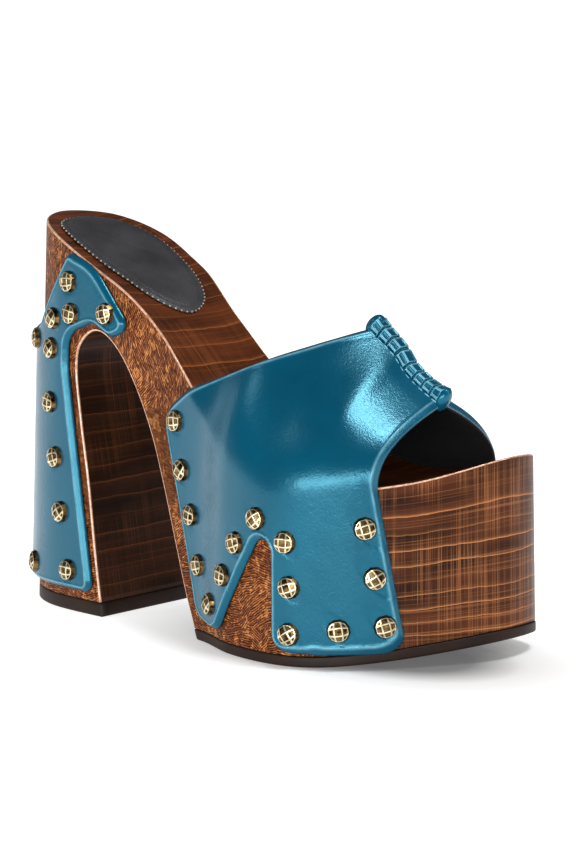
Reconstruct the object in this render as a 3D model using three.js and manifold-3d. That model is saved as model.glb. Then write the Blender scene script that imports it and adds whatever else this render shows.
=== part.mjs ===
// A right platform clog. A carved wooden body stands on a rubber outsole and a heel top lift. A leather
// vamp is nailed over the platform with a lashed seam down its middle, a leather wrap is nailed round the
// heel, and a pad lies under the foot's heel. Millimetres: +X runs from heel to toe, -Y is the outer side
// of the foot, +Z is up.
import * as THREE from 'three';
import { mergeVertices } from 'three/addons/utils/BufferGeometryUtils.js';
import Module from 'manifold-3d';

const wasm = await Module();
wasm.setup();

// Wooden body and soles
const soleLength = 220.6;
const ballWidth = 95.4;
const heelHeight = 153.8;
const platformHeight = 62;
const toeRise = 14.5;
const toeSpring = 8;
const toeSpringStart = 0.727;
const archRoof = 23.6;
const wallFlare = 0.0267;
const outsoleThickness = 4;
const topLiftThickness = 5.5;

// Leather, pad and studs
const clearance = 0.3;
const leatherThickness = 2.7;
const padThickness = 1.8;
const instepHeight = 54;
const cornerRadius = 3.3;
const studDiameter = 9;
const studHeight = 2.8;
const seamWidth = 7.4;
const seamHeight = 3.8;
const seamBlocks = 8;

// Fineness of the facets
const outlineSteps = 88;
const archSteps = 30;
const footbedSteps = 40;
const vampSteps = 24;
const domeSteps = 8;
const cornerSteps = 5;
const padSteps = 36;
const studSides = 7;
const seamSides = 8;
const overrun = 30;

// Where the sole meets the floor, seen from above, from the back of the heel round the outer side
const outlineRows = [
  { along: 0.000, across: 0.000 },
  { along: 0.018, across: -0.122 },
  { along: 0.053, across: -0.223 },
  { along: 0.118, across: -0.303 },
  { along: 0.239, across: -0.340 },
  { along: 0.373, across: -0.344 },
  { along: 0.519, across: -0.397 },
  { along: 0.624, across: -0.496 },
  { along: 0.726, across: -0.517 },
  { along: 0.814, across: -0.459 },
  { along: 0.896, across: -0.279 },
  { along: 0.959, across: -0.055 },
  { along: 0.999, across: 0.174 },
  { along: 0.972, across: 0.401 },
  { along: 0.874, across: 0.476 },
  { along: 0.748, across: 0.469 },
  { along: 0.640, across: 0.406 },
  { along: 0.512, across: 0.239 },
  { along: 0.394, across: 0.200 },
  { along: 0.262, across: 0.300 },
  { along: 0.150, across: 0.342 },
  { along: 0.051, across: 0.259 },
  { along: 0.010, across: 0.132 },
];

// The footbed from the side: heel is a share of the drop from heel to ball, toe of the rise at the toe
const footbedRows = [
  { along: 0.000, heel: 1.000, toe: 0.000 },
  { along: 0.063, heel: 0.966, toe: 0.000 },
  { along: 0.129, heel: 0.911, toe: 0.000 },
  { along: 0.218, heel: 0.816, toe: 0.000 },
  { along: 0.306, heel: 0.715, toe: 0.000 },
  { along: 0.395, heel: 0.561, toe: 0.000 },
  { along: 0.461, heel: 0.405, toe: 0.000 },
  { along: 0.518, heel: 0.271, toe: 0.000 },
  { along: 0.593, heel: 0.113, toe: 0.000 },
  { along: 0.669, heel: 0.020, toe: 0.000 },
  { along: 0.748, heel: 0.000, toe: 0.000 },
  { along: 0.859, heel: 0.000, toe: 0.283 },
  { along: 0.925, heel: 0.000, toe: 0.490 },
  { along: 1.000, heel: 0.000, toe: 1.000 },
];

// The opening between heel and platform, from the heel's foot over the top to the platform's foot
const archRows = [
  { along: 0.262, rise: 0.000 },
  { along: 0.242, rise: 0.216 },
  { along: 0.220, rise: 0.483 },
  { along: 0.198, rise: 0.694 },
  { along: 0.185, rise: 0.874 },
  { along: 0.193, rise: 0.943 },
  { along: 0.224, rise: 0.995 },
  { along: 0.252, rise: 0.995 },
  { along: 0.290, rise: 0.941 },
  { along: 0.332, rise: 0.825 },
  { along: 0.376, rise: 0.660 },
  { along: 0.404, rise: 0.520 },
  { along: 0.447, rise: 0.282 },
  { along: 0.476, rise: 0.132 },
  { along: 0.509, rise: 0.000 },
];
const archTopAlong = 0.238;

// The instep inside the vamp: crown is its height over the ball, outer and inner how tightly each side
// turns in, and ridge how far the crown lies towards the inner side
const crownRows = [
  { along: 0.405, crown: 1.741, outer: 0.75, inner: 0.80, ridge: 0.000 },
  { along: 0.545, crown: 1.500, outer: 0.65, inner: 0.80, ridge: 0.000 },
  { along: 0.636, crown: 1.333, outer: 0.49, inner: 0.78, ridge: 0.000 },
  { along: 0.722, crown: 1.139, outer: 0.53, inner: 0.75, ridge: 0.001 },
  { along: 0.762, crown: 1.015, outer: 0.50, inner: 0.72, ridge: 0.008 },
  { along: 0.803, crown: 0.874, outer: 0.46, inner: 0.70, ridge: 0.023 },
  { along: 0.826, crown: 0.752, outer: 0.44, inner: 0.68, ridge: 0.029 },
  { along: 0.859, crown: 0.643, outer: 0.41, inner: 0.65, ridge: 0.040 },
  { along: 0.893, crown: 0.559, outer: 0.39, inner: 0.62, ridge: 0.049 },
  { along: 0.976, crown: 0.389, outer: 0.36, inner: 0.60, ridge: 0.068 },
];

// The vamp's cut edge from the side: corners with their rounding in corner radii, and how far each
// corner lies further forward on the inner side of the foot
const vampRows = [
  { along: 0.414, height: 0.710, round: 1.2, inner: 0.000 },
  { along: 0.520, height: 0.076, round: 5.5, inner: 0.000 },
  { along: 0.589, height: 0.064, round: 2.4, inner: 0.000 },
  { along: 0.726, height: 0.485, round: 1.4, inner: 0.000 },
  { along: 0.733, height: 0.050, round: 2.1, inner: 0.000 },
  { along: 0.921, height: 0.059, round: 1.8, inner: -0.020 },
  { along: 0.883, height: 0.563, round: 4.5, inner: -0.028 },
  { along: 0.890, height: 0.798, round: 0.0, inner: 0.000 },
  { along: 0.917, height: 0.908, round: 0.0, inner: 0.000 },
  { along: 0.804, height: 1.176, round: 0.0, inner: 0.000 },
  { along: 0.767, height: 1.018, round: 0.0, inner: 0.000 },
  { along: 0.486, height: 0.801, round: 9.0, inner: 0.000 },
];

// The heel wrap's cut edge from the side, round past the back of the heel
const heelWrapRows = [
  { along: -0.058, height: 0.062, round: 0.0, inner: 0.000 },
  { along: -0.058, height: 0.712, round: 0.0, inner: 0.000 },
  { along: 0.072, height: 0.712, round: 2.4, inner: 0.000 },
  { along: 0.169, height: 0.913, round: 1.0, inner: 0.000 },
  { along: 0.238, height: 0.882, round: 4.2, inner: -0.030 },
  { along: 0.321, height: 0.741, round: 1.3, inner: 0.000 },
  { along: 0.280, height: 0.715, round: 1.5, inner: 0.000 },
  { along: 0.235, height: 0.748, round: 2.4, inner: 0.000 },
  { along: 0.165, height: 0.712, round: 2.7, inner: 0.000 },
  { along: 0.165, height: 0.624, round: 9.0, inner: 0.000 },
  { along: 0.240, height: 0.062, round: 1.1, inner: 0.000 },
];

// Studs on one side of the vamp and of the heel wrap
const vampStudRows = [
  { along: 0.451, height: 0.689 },
  { along: 0.470, height: 0.537 },
  { along: 0.499, height: 0.402 },
  { along: 0.525, height: 0.250 },
  { along: 0.569, height: 0.143 },
  { along: 0.614, height: 0.251 },
  { along: 0.648, height: 0.362 },
  { along: 0.698, height: 0.450 },
  { along: 0.758, height: 0.389 },
  { along: 0.767, height: 0.252 },
  { along: 0.768, height: 0.107 },
  { along: 0.845, height: 0.127 },
  { along: 0.899, height: 0.138 },
  { along: 0.886, height: 0.287 },
  { along: 0.873, height: 0.440 },
];
const heelStudRows = [
  { along: 0.175, height: 0.842 },
  { along: 0.130, height: 0.744 },
  { along: 0.182, height: 0.762 },
  { along: 0.272, height: 0.773 },
  { along: 0.124, height: 0.667 },
  { along: 0.123, height: 0.529 },
  { along: 0.142, height: 0.391 },
  { along: 0.160, height: 0.254 },
  { along: 0.183, height: 0.109 },
  { along: 0.058, height: 0.681 },
  { along: 0.065, height: 0.103 },
];

// The pad's outline on the footbed, seen from above
const padRows = [
  { along: 0.095, across: -0.164 },
  { along: 0.137, across: -0.217 },
  { along: 0.243, across: -0.247 },
  { along: 0.334, across: -0.209 },
  { along: 0.370, across: -0.103 },
  { along: 0.351, across: 0.035 },
  { along: 0.280, across: 0.137 },
  { along: 0.170, across: 0.192 },
  { along: 0.104, across: 0.123 },
  { along: 0.078, across: -0.016 },
];

// A faceted dome stud: shares of its radius and height from the rim to the top facet
const studRows = [
  { radius: 1.00, height: 0.00 },
  { radius: 0.98, height: 0.28 },
  { radius: 0.72, height: 0.78 },
  { radius: 0.32, height: 1.00 },
];

// The seam runs along the ridge between these shares of the length
const seamStart = 0.757;
const seamEnd = 0.889;
const seamGroove = 0.22;
const ringsPerBlock = 4;

// Value of one column of a table at a place along the shoe, on a smooth curve through its rows
function smoothAt(rows, column, along) {
  const last = rows.length - 1;
  let index = 0;
  while (index < last - 1 && along > rows[index + 1].along) index += 1;
  const slopeAt = (row) => {
    const before = rows[Math.max(row - 1, 0)];
    const after = rows[Math.min(row + 1, last)];
    return (after[column] - before[column]) / (after.along - before.along);
  };
  const from = rows[index];
  const to = rows[index + 1];
  const span = to.along - from.along;
  const t = THREE.MathUtils.clamp((along - from.along) / span, 0, 1);
  const square = t * t;
  const cube = square * t;
  return (2 * cube - 3 * square + 1) * from[column] + (cube - 2 * square + t) * span * slopeAt(index)
    + (3 * square - 2 * cube) * to[column] + (cube - square) * span * slopeAt(index + 1);
}

function footbedHeight(x) {
  const along = x / soleLength;
  const drop = heelHeight - platformHeight;
  return platformHeight + drop * smoothAt(footbedRows, 'heel', along)
    + toeRise * smoothAt(footbedRows, 'toe', along);
}

function springHeight(x) {
  const past = Math.max(x / soleLength - toeSpringStart, 0) / (1 - toeSpringStart);
  return toeSpring * past * past;
}

const archHeight = footbedHeight(archTopAlong * soleLength) - archRoof;
const vampHeight = platformHeight + instepHeight + clearance + leatherThickness;

// Points of a closed smooth curve through rows given from above
function closedCurve(rows, steps) {
  const points = rows.map((row) => new THREE.Vector3(row.along * soleLength, row.across * ballWidth, 0));
  return new THREE.CatmullRomCurve3(points, true, 'centripetal').getSpacedPoints(steps).slice(0, steps);
}

const soleOutline = closedCurve(outlineRows, outlineSteps);
const soleNormals = soleOutline.map((point, index) => {
  const next = soleOutline[(index + 1) % outlineSteps];
  const before = soleOutline[(index + outlineSteps - 1) % outlineSteps];
  return new THREE.Vector3(next.y - before.y, before.x - next.x, 0).normalize();
});

// The flared wall's outline at one height, moved outward by an offset
function wallRing(offset, height) {
  const lean = offset - wallFlare * height;
  return soleOutline.map((point, index) => {
    const moved = point.clone().addScaledVector(soleNormals[index], lean);
    return moved.setZ(height);
  });
}

// Where the wall lies at one place along the shoe: side is -1 on the outer and 1 on the inner side
function wallPoint(x, side, offset, height) {
  const ring = wallRing(offset, height);
  let best = null;
  ring.forEach((from, index) => {
    const next = (index + 1) % ring.length;
    const to = ring[next];
    if ((from.x - x) * (to.x - x) > 0 || from.x === to.x) return;
    const share = (x - from.x) / (to.x - from.x);
    const y = from.y + share * (to.y - from.y);
    if (best && side * best.position.y >= side * y) return;
    const normal = soleNormals[index].clone().lerp(soleNormals[next], share).setZ(wallFlare).normalize();
    best = { position: new THREE.Vector3(x, y, height), normal };
  });
  return best;
}

// A closed solid through rings that run counter-clockwise seen from the end of the loft
function loft(rings, flatten) {
  const count = rings[0].length;
  const positions = rings.flat().flatMap((point) => point.toArray());
  const faces = [];
  for (let ring = 0; ring < rings.length - 1; ring += 1) {
    for (let step = 0; step < count; step += 1) {
      const next = (step + 1) % count;
      const low = ring * count;
      const high = low + count;
      faces.push(low + step, low + next, high + next);
      faces.push(low + step, high + next, high + step);
    }
  }
  const addCap = (start, points, forward) => {
    const flat = points.map(flatten);
    THREE.ShapeUtils.triangulateShape(flat, []).forEach(([a, b, c]) => {
      const turn = (flat[b].x - flat[a].x) * (flat[c].y - flat[a].y)
        - (flat[b].y - flat[a].y) * (flat[c].x - flat[a].x);
      const [second, third] = (turn > 0) === forward ? [b, c] : [c, b];
      faces.push(start + a, start + second, start + third);
    });
  };
  addCap(0, rings[0], false);
  addCap((rings.length - 1) * count, rings[rings.length - 1], true);
  const geometry = new THREE.BufferGeometry();
  geometry.setAttribute('position', new THREE.Float32BufferAttribute(positions, 3));
  geometry.setIndex(faces);
  return geometry;
}

function toSolid(geometry) {
  const bare = geometry.clone();
  bare.deleteAttribute('normal');
  bare.deleteAttribute('uv');
  const merged = mergeVertices(bare);
  const mesh = new wasm.Mesh({
    numProp: 3,
    vertProperties: new Float32Array(merged.attributes.position.array),
    triVerts: new Uint32Array(merged.index.array),
  });
  return new wasm.Manifold(mesh);
}

function toGeometry(solid) {
  const mesh = solid.getMesh();
  const geometry = new THREE.BufferGeometry();
  geometry.setAttribute('position', new THREE.BufferAttribute(mesh.vertProperties, 3));
  geometry.setIndex(new THREE.BufferAttribute(mesh.triVerts, 1));
  geometry.computeVertexNormals();
  return geometry;
}

// A side view outline in X and Z as a block between two places across the shoe
function sideBlock(outline, from, to) {
  const shape = new THREE.Shape(outline);
  const geometry = new THREE.ExtrudeGeometry(shape, { depth: to - from, bevelEnabled: false });
  geometry.rotateX(Math.PI / 2);
  geometry.translate(0, to, 0);
  return toSolid(geometry);
}

// A view from above as a block between two heights
function plateBlock(outline, low, high) {
  const rings = [low, high].map((height) => outline.map((point) => point.clone().setZ(height)));
  return toSolid(loft(rings, (point) => new THREE.Vector2(point.x, point.y)));
}

function wallBlock(offset, low, high) {
  const rings = [low, high].map((height) => wallRing(offset, height));
  return toSolid(loft(rings, (point) => new THREE.Vector2(point.x, point.y)));
}

// Straight edges with an arc at each corner
function roundedOutline(corners) {
  return corners.flatMap((corner, index) => {
    const before = corners[(index + corners.length - 1) % corners.length].point;
    const after = corners[(index + 1) % corners.length].point;
    if (corner.radius === 0) return [corner.point];
    const back = before.clone().sub(corner.point);
    const ahead = after.clone().sub(corner.point);
    const half = Math.acos(back.clone().normalize().dot(ahead.clone().normalize())) / 2;
    const room = Math.min(back.length(), ahead.length()) / 2;
    const reach = Math.min(corner.radius / Math.tan(half), room);
    const radius = reach * Math.tan(half);
    const start = corner.point.clone().add(back.normalize().multiplyScalar(reach));
    const end = corner.point.clone().add(ahead.normalize().multiplyScalar(reach));
    const middle = start.clone().add(end).multiplyScalar(0.5);
    const inward = middle.clone().sub(corner.point).normalize();
    const centre = corner.point.clone().addScaledVector(inward, radius / Math.sin(half));
    const first = start.clone().sub(centre).angle();
    let sweep = end.clone().sub(centre).angle() - first;
    if (sweep > Math.PI) sweep -= 2 * Math.PI;
    if (sweep < -Math.PI) sweep += 2 * Math.PI;
    return Array.from({ length: cornerSteps + 1 }, (_, step) => {
      const angle = first + sweep * step / cornerSteps;
      return new THREE.Vector2(centre.x + radius * Math.cos(angle), centre.y + radius * Math.sin(angle));
    });
  });
}

function edgeOutline(rows, height, side) {
  return roundedOutline(rows.map((row) => {
    const along = row.along + (side > 0 ? row.inner : 0);
    return {
      point: new THREE.Vector2(along * soleLength, row.height * height),
      radius: row.round * cornerRadius,
    };
  }));
}

// The band under the footbed, or a band on it, from the back to the toe
function footbedBand(low, high) {
  const places = Array.from({ length: footbedSteps + 1 }, (_, step) => {
    return -overrun + (soleLength + 2 * overrun) * step / footbedSteps;
  });
  const top = places.map((x) => new THREE.Vector2(x, footbedHeight(x) + high));
  const bottom = places.map((x) => new THREE.Vector2(x, low === null ? -overrun : footbedHeight(x) + low));
  return sideBlock([...bottom, ...top.reverse()], -ballWidth, ballWidth);
}

// The band between floor and outsole top, or all that lies over it
function springBand(low, high) {
  const start = (archRows[0].along + archRows[archRows.length - 1].along) / 2 * soleLength;
  const places = Array.from({ length: footbedSteps + 1 }, (_, step) => {
    return start + (soleLength + overrun - start) * step / footbedSteps;
  });
  const bottom = places.map((x) => new THREE.Vector2(x, springHeight(x) + low));
  const top = places.map((x) => new THREE.Vector2(x, high === null ? 2 * heelHeight : springHeight(x) + high));
  return sideBlock([...bottom, ...top.reverse()], -ballWidth, ballWidth);
}

function heelBand(low, high) {
  const start = -overrun;
  const end = (archRows[0].along + archRows[archRows.length - 1].along) / 2 * soleLength;
  const outline = [[start, low], [end, low], [end, high], [start, high]];
  return sideBlock(outline.map(([x, z]) => new THREE.Vector2(x, z)), -ballWidth, ballWidth);
}

function archBlock() {
  const points = archRows.map((row) => new THREE.Vector3(row.along * soleLength, row.rise * archHeight, 0));
  const curve = new THREE.CatmullRomCurve3(points, false, 'centripetal');
  const edge = curve.getSpacedPoints(archSteps).map((point) => new THREE.Vector2(point.x, point.y));
  const heelFoot = new THREE.Vector2(edge[0].x, -overrun);
  const platformFoot = new THREE.Vector2(edge[archSteps].x, -overrun);
  return sideBlock([heelFoot, ...edge, platformFoot].reverse(), -ballWidth, ballWidth);
}

const arch = archBlock();

function woodBody() {
  const seat = heelBand(topLiftThickness + clearance, 2 * heelHeight)
    .add(springBand(outsoleThickness + clearance, null));
  return wallBlock(0, -overrun, heelHeight + overrun)
    .intersect(footbedBand(null, 0))
    .intersect(seat)
    .subtract(arch);
}

function outsole() {
  return wallBlock(0, -overrun, platformHeight).intersect(springBand(0, outsoleThickness)).subtract(arch);
}

function topLift() {
  return wallBlock(0, -overrun, platformHeight).intersect(heelBand(0, topLiftThickness)).subtract(arch);
}

// One section across the last, grown by an offset, with walls up to the footbed and a crown over it
function lastSection(x, offset) {
  const along = x / soleLength;
  const top = platformHeight + instepHeight * smoothAt(crownRows, 'crown', along) + offset;
  const middle = ballWidth * smoothAt(crownRows, 'ridge', along);
  const edge = footbedHeight(x);
  const sidePoints = (side) => {
    const bend = smoothAt(crownRows, side < 0 ? 'outer' : 'inner', along);
    const low = wallPoint(x, side, offset, -overrun).position;
    const high = wallPoint(x, side, offset, edge).position;
    const dome = Array.from({ length: domeSteps }, (_, step) => {
      const angle = Math.PI / 2 * step / domeSteps;
      const reach = Math.cos(angle) ** 2;
      const lift = Math.sin(angle) ** (2 * bend);
      return new THREE.Vector3(x, middle + (high.y - middle) * reach, edge + (top - edge) * lift);
    });
    return [low, ...dome];
  };
  const ridge = new THREE.Vector3(x, middle, top);
  return [...sidePoints(1), ridge, ...sidePoints(-1).reverse()];
}

function lastForm(offset) {
  const first = crownRows[0].along;
  const last = crownRows[crownRows.length - 1].along;
  const rings = Array.from({ length: vampSteps + 1 }, (_, step) => {
    return lastSection(soleLength * (first + (last - first) * step / vampSteps), offset);
  });
  return toSolid(loft(rings, (point) => new THREE.Vector2(point.y, point.z)));
}

function vamp() {
  const outerSide = sideBlock(edgeOutline(vampRows, vampHeight, -1), -ballWidth, 0);
  const innerSide = sideBlock(edgeOutline(vampRows, vampHeight, 1), 0, ballWidth);
  const woodSpace = wallBlock(clearance, -overrun, heelHeight + overrun)
    .intersect(footbedBand(null, clearance));
  return lastForm(clearance + leatherThickness)
    .intersect(outerSide.add(innerSide))
    .subtract(lastForm(clearance))
    .subtract(woodSpace);
}

function heelWrap() {
  const outerSide = sideBlock(edgeOutline(heelWrapRows, heelHeight, -1), -ballWidth, 0);
  const innerSide = sideBlock(edgeOutline(heelWrapRows, heelHeight, 1), 0, ballWidth);
  return wallBlock(clearance + leatherThickness, -overrun, heelHeight + overrun)
    .subtract(wallBlock(clearance, -2 * overrun, heelHeight + 2 * overrun))
    .intersect(outerSide.add(innerSide));
}

function insolePad() {
  const outline = closedCurve(padRows, padSteps);
  return plateBlock(outline, 0, heelHeight + overrun)
    .intersect(footbedBand(clearance, clearance + padThickness));
}

// A row of lashing blocks along the ridge, each a bulge between two grooves
function centreSeam() {
  const seat = clearance + leatherThickness;
  const ridgePoint = (share) => {
    const along = seamStart + (seamEnd - seamStart) * share;
    const top = platformHeight + instepHeight * smoothAt(crownRows, 'crown', along) + seat;
    const middle = ballWidth * smoothAt(crownRows, 'ridge', along);
    return new THREE.Vector3(along * soleLength, middle, top);
  };
  const ringCount = seamBlocks * ringsPerBlock;
  const rings = Array.from({ length: ringCount + 1 }, (_, index) => {
    const share = index / ringCount;
    const centre = ridgePoint(share);
    const ahead = ridgePoint(share + 1 / ringCount).sub(ridgePoint(share - 1 / ringCount)).normalize();
    const up = new THREE.Vector3(-ahead.z, 0, ahead.x);
    const size = index % ringsPerBlock === 0 ? 1 - seamGroove : 1;
    return Array.from({ length: seamSides }, (_, side) => {
      const angle = 2 * Math.PI * (side + 0.5) / seamSides;
      return centre.clone()
        .addScaledVector(new THREE.Vector3(0, 1, 0), Math.cos(angle) * size * seamWidth / 2)
        .addScaledVector(up, Math.sin(angle) * size * seamHeight);
    });
  });
  const rope = toSolid(loft(rings, (point) => new THREE.Vector2(point.y, point.z)));
  return rope.subtract(lastForm(seat + clearance));
}

function studGeometry() {
  const rim = studRows.map((row) => {
    return new THREE.Vector2(row.radius * studDiameter / 2, row.height * studHeight);
  });
  const profile = [new THREE.Vector2(0, 0), ...rim, new THREE.Vector2(0, studHeight)];
  return toGeometry(toSolid(new THREE.LatheGeometry(profile, studSides)));
}

const wood = new THREE.MeshStandardMaterial({ color: 0x5c3219, roughness: 0.42, metalness: 0 });
const rubber = new THREE.MeshStandardMaterial({ color: 0x1d1512, roughness: 0.7, metalness: 0 });
const blueLeather = new THREE.MeshStandardMaterial({ color: 0x23789b, roughness: 0.35, metalness: 0 });
const blackLeather = new THREE.MeshStandardMaterial({ color: 0x26262a, roughness: 0.5, metalness: 0 });
const brass = new THREE.MeshStandardMaterial({ color: 0xb09a66, roughness: 0.3, metalness: 1 });

function namedMesh(name, geometry, material) {
  const mesh = new THREE.Mesh(geometry, material);
  mesh.name = name;
  return mesh;
}

// Studs sit on the leather on both sides, each turned a little further than the one before
function addStuds(group, prefix, rows, height) {
  const seat = clearance + leatherThickness + clearance;
  const turn = 0.7;
  [['outer', -1], ['inner', 1]].forEach(([sideName, side]) => {
    rows.forEach((row, index) => {
      const number = String(index + 1).padStart(2, '0');
      const place = wallPoint(row.along * soleLength, side, seat, row.height * height);
      const stud = namedMesh(`${prefix}_${sideName}_${number}`, studGeometry(), brass);
      stud.position.copy(place.position);
      stud.quaternion.setFromUnitVectors(new THREE.Vector3(0, 1, 0), place.normal);
      stud.rotateY(index * turn);
      group.add(stud);
    });
  });
}

const clog = new THREE.Group();
clog.add(namedMesh('wood_body', toGeometry(woodBody()), wood));
clog.add(namedMesh('outsole', toGeometry(outsole()), rubber));
clog.add(namedMesh('top_lift', toGeometry(topLift()), rubber));
clog.add(namedMesh('upper', toGeometry(vamp()), blueLeather));
clog.add(namedMesh('heel_wrap', toGeometry(heelWrap()), blueLeather));
clog.add(namedMesh('centre_seam', toGeometry(centreSeam()), blueLeather));
clog.add(namedMesh('insole_pad', toGeometry(insolePad()), blackLeather));
addStuds(clog, 'stud_vamp', vampStudRows, vampHeight);
addStuds(clog, 'stud_heel', heelStudRows, heelHeight);

// The origin goes under the middle of the shoe, on the floor
clog.updateMatrixWorld(true);
const bounds = new THREE.Box3().setFromObject(clog, true);
const middle = bounds.getCenter(new THREE.Vector3());
clog.position.set(-middle.x, -middle.y, -bounds.min.z);

export default clog;
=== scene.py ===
"""A right platform clog: a carved wooden body, a blue leather vamp with a lashed seam, a heel wrap,
faceted brass studs, a sewn pad, an outsole and a top lift. Lengths are millimetres in the shoe's own
frame (heel back at x 0, outer side -y, floor z 0) until a mesh is built in metres in the CAD frame."""
import math

import bmesh
import bpy
import numpy as np
from mathutils import Matrix, Vector
from mathutils.geometry import delaunay_2d_cdt


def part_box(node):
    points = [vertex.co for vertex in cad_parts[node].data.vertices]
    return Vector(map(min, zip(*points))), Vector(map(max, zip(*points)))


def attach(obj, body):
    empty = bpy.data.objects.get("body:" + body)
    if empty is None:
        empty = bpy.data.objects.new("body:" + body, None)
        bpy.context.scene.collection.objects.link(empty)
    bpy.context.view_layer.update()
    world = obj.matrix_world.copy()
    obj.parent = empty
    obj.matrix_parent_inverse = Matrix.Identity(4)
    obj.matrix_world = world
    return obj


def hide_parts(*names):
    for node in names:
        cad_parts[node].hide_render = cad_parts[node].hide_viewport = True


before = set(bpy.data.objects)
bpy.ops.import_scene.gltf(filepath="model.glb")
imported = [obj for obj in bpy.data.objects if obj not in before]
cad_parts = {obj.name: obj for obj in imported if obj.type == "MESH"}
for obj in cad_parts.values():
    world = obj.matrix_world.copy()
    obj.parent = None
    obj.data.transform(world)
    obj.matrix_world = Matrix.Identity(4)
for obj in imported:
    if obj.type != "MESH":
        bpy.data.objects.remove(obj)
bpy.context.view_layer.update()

MM = 0.001

# The shoe's main sizes
SOLE_LENGTH = 220.6
BALL_WIDTH = 95.4
HEEL_HEIGHT = 153.8
PLATFORM_HEIGHT = 62.0
TOE_RISE = 14.5
TOE_SPRING = 8.0
TOE_SPRING_START = 0.727
ARCH_ROOF = 23.6
ARCH_TOP_ALONG = 0.238
WALL_FLARE = 0.0267
OUTSOLE = 4.0
TOP_LIFT = 5.5
INSTEP = 54.0
CORNER = 3.3
CLEARANCE = 0.3
LEATHER = 2.7
PAD = 1.8
SKIN = CLEARANCE + LEATHER
VAMP_HEIGHT = PLATFORM_HEIGHT + INSTEP + SKIN

# The wood's rounded edge, the dip of its footbed and where its front figure begins to rise
WOOD_EDGE = 0.7
HOLD = 0.5
DISH = 0.8
DISH_WIDTH = 9.0
GRAIN_RISE_START = 0.7

# Leather and pad: cut edges, the painted highlight line along them, the dip round a stud and the mesh's
# spacing
EDGE_GROWTH = 0.5
PAD_GROWTH = 0.7
PAD_SHIFT = (-2.2, 2.4)
EDGE_STEP = 0.95
BACK_ROLL = 0.35
BACK_ROLL_REACH = 0.3
HIGHLIGHT_LINE = 2.0
HIGHLIGHT_WIDTH = 0.34
DIP_DEPTH = 0.15
DIP_RADIUS = 4.2
DIP_SOFTNESS = 0.8
VAMP_GRID = 2.0
WRAP_GRID = 2.2
PAD_GRID = 1.8

# The lashed seam: its blocks in shares of their pitch, beads by half sizes and knobs by place and length
SEAM_WIDTH = 6.3
SEAM_HEIGHT = 3.0
SEAM_END_RISE = 1.5
SEAM_END_SPREAD = 0.9
SEAM_BLOCKS = 8
SEAM_START = 0.757
SEAM_END = 0.889
BLOCK_START = 0.06
BLOCK_LENGTH = 0.88
SEAM_CORE = 0.8
SEAM_RADIUS = 3.6
# How far below a frame's top the painted highlight still reaches
FRAME_HIGHLIGHT_DEPTH = 0.14
BEAD = (0.6, 0.45, 0.45)
KNOBS = ((0.0, 3.0), (1.0, 2.6))
KNOB_DROP = 0.3
KNOB_RISE = 0.4

# Studs: their size, how deep they sit and how each cut is turned
STUD_WIDTH = 9.0
STUD_HEIGHT = 2.8
STUD_SEAT = 0.3
STUD_SWING = 0.25
STUD_TURNS = (0.1, 0.78)


def table(columns, *rows):
    """A short table with named columns."""
    return {name: np.array(values, float) for name, values in zip(columns.split(), zip(*rows))}


# Where the sole meets the floor, seen from above
OUTLINE = table(
    "along across",
    (0.000, 0.000), (0.018, -0.122), (0.053, -0.223), (0.118, -0.303), (0.239, -0.340),
    (0.373, -0.344), (0.519, -0.397), (0.624, -0.496), (0.726, -0.517), (0.814, -0.459),
    (0.896, -0.279), (0.959, -0.055), (0.999, 0.174), (0.972, 0.401), (0.874, 0.476),
    (0.748, 0.469), (0.640, 0.406), (0.512, 0.239), (0.394, 0.200), (0.262, 0.300),
    (0.150, 0.342), (0.051, 0.259), (0.010, 0.132))

# The footbed from the side
FOOTBED = table(
    "along heel toe",
    (0.000, 1.000, 0.000), (0.063, 0.966, 0.000), (0.129, 0.911, 0.000), (0.218, 0.816, 0.000),
    (0.306, 0.715, 0.000), (0.395, 0.561, 0.000), (0.461, 0.405, 0.000), (0.518, 0.271, 0.000),
    (0.593, 0.113, 0.000), (0.669, 0.020, 0.000), (0.748, 0.000, 0.000), (0.859, 0.000, 0.283),
    (0.925, 0.000, 0.490), (1.000, 0.000, 1.000))

# The opening between heel and platform, from the heel's foot over the top to the platform's foot
ARCH = table(
    "along rise",
    (0.262, 0.000), (0.242, 0.216), (0.220, 0.483), (0.198, 0.694), (0.185, 0.874),
    (0.193, 0.943), (0.224, 0.995), (0.252, 0.995), (0.290, 0.941), (0.332, 0.825),
    (0.376, 0.660), (0.404, 0.520), (0.447, 0.282), (0.476, 0.132), (0.509, 0.000))

# The instep inside the vamp
CROWN = table(
    "along crown outer inner ridge",
    (0.405, 1.741, 0.75, 0.80, 0.000), (0.545, 1.500, 0.65, 0.80, 0.000),
    (0.636, 1.333, 0.49, 0.78, 0.000), (0.722, 1.139, 0.53, 0.75, 0.001),
    (0.762, 1.015, 0.50, 0.72, 0.008), (0.803, 0.874, 0.46, 0.70, 0.023),
    (0.826, 0.752, 0.44, 0.68, 0.029), (0.859, 0.643, 0.41, 0.65, 0.040),
    (0.893, 0.559, 0.39, 0.62, 0.049), (0.976, 0.389, 0.36, 0.60, 0.068))

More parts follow.
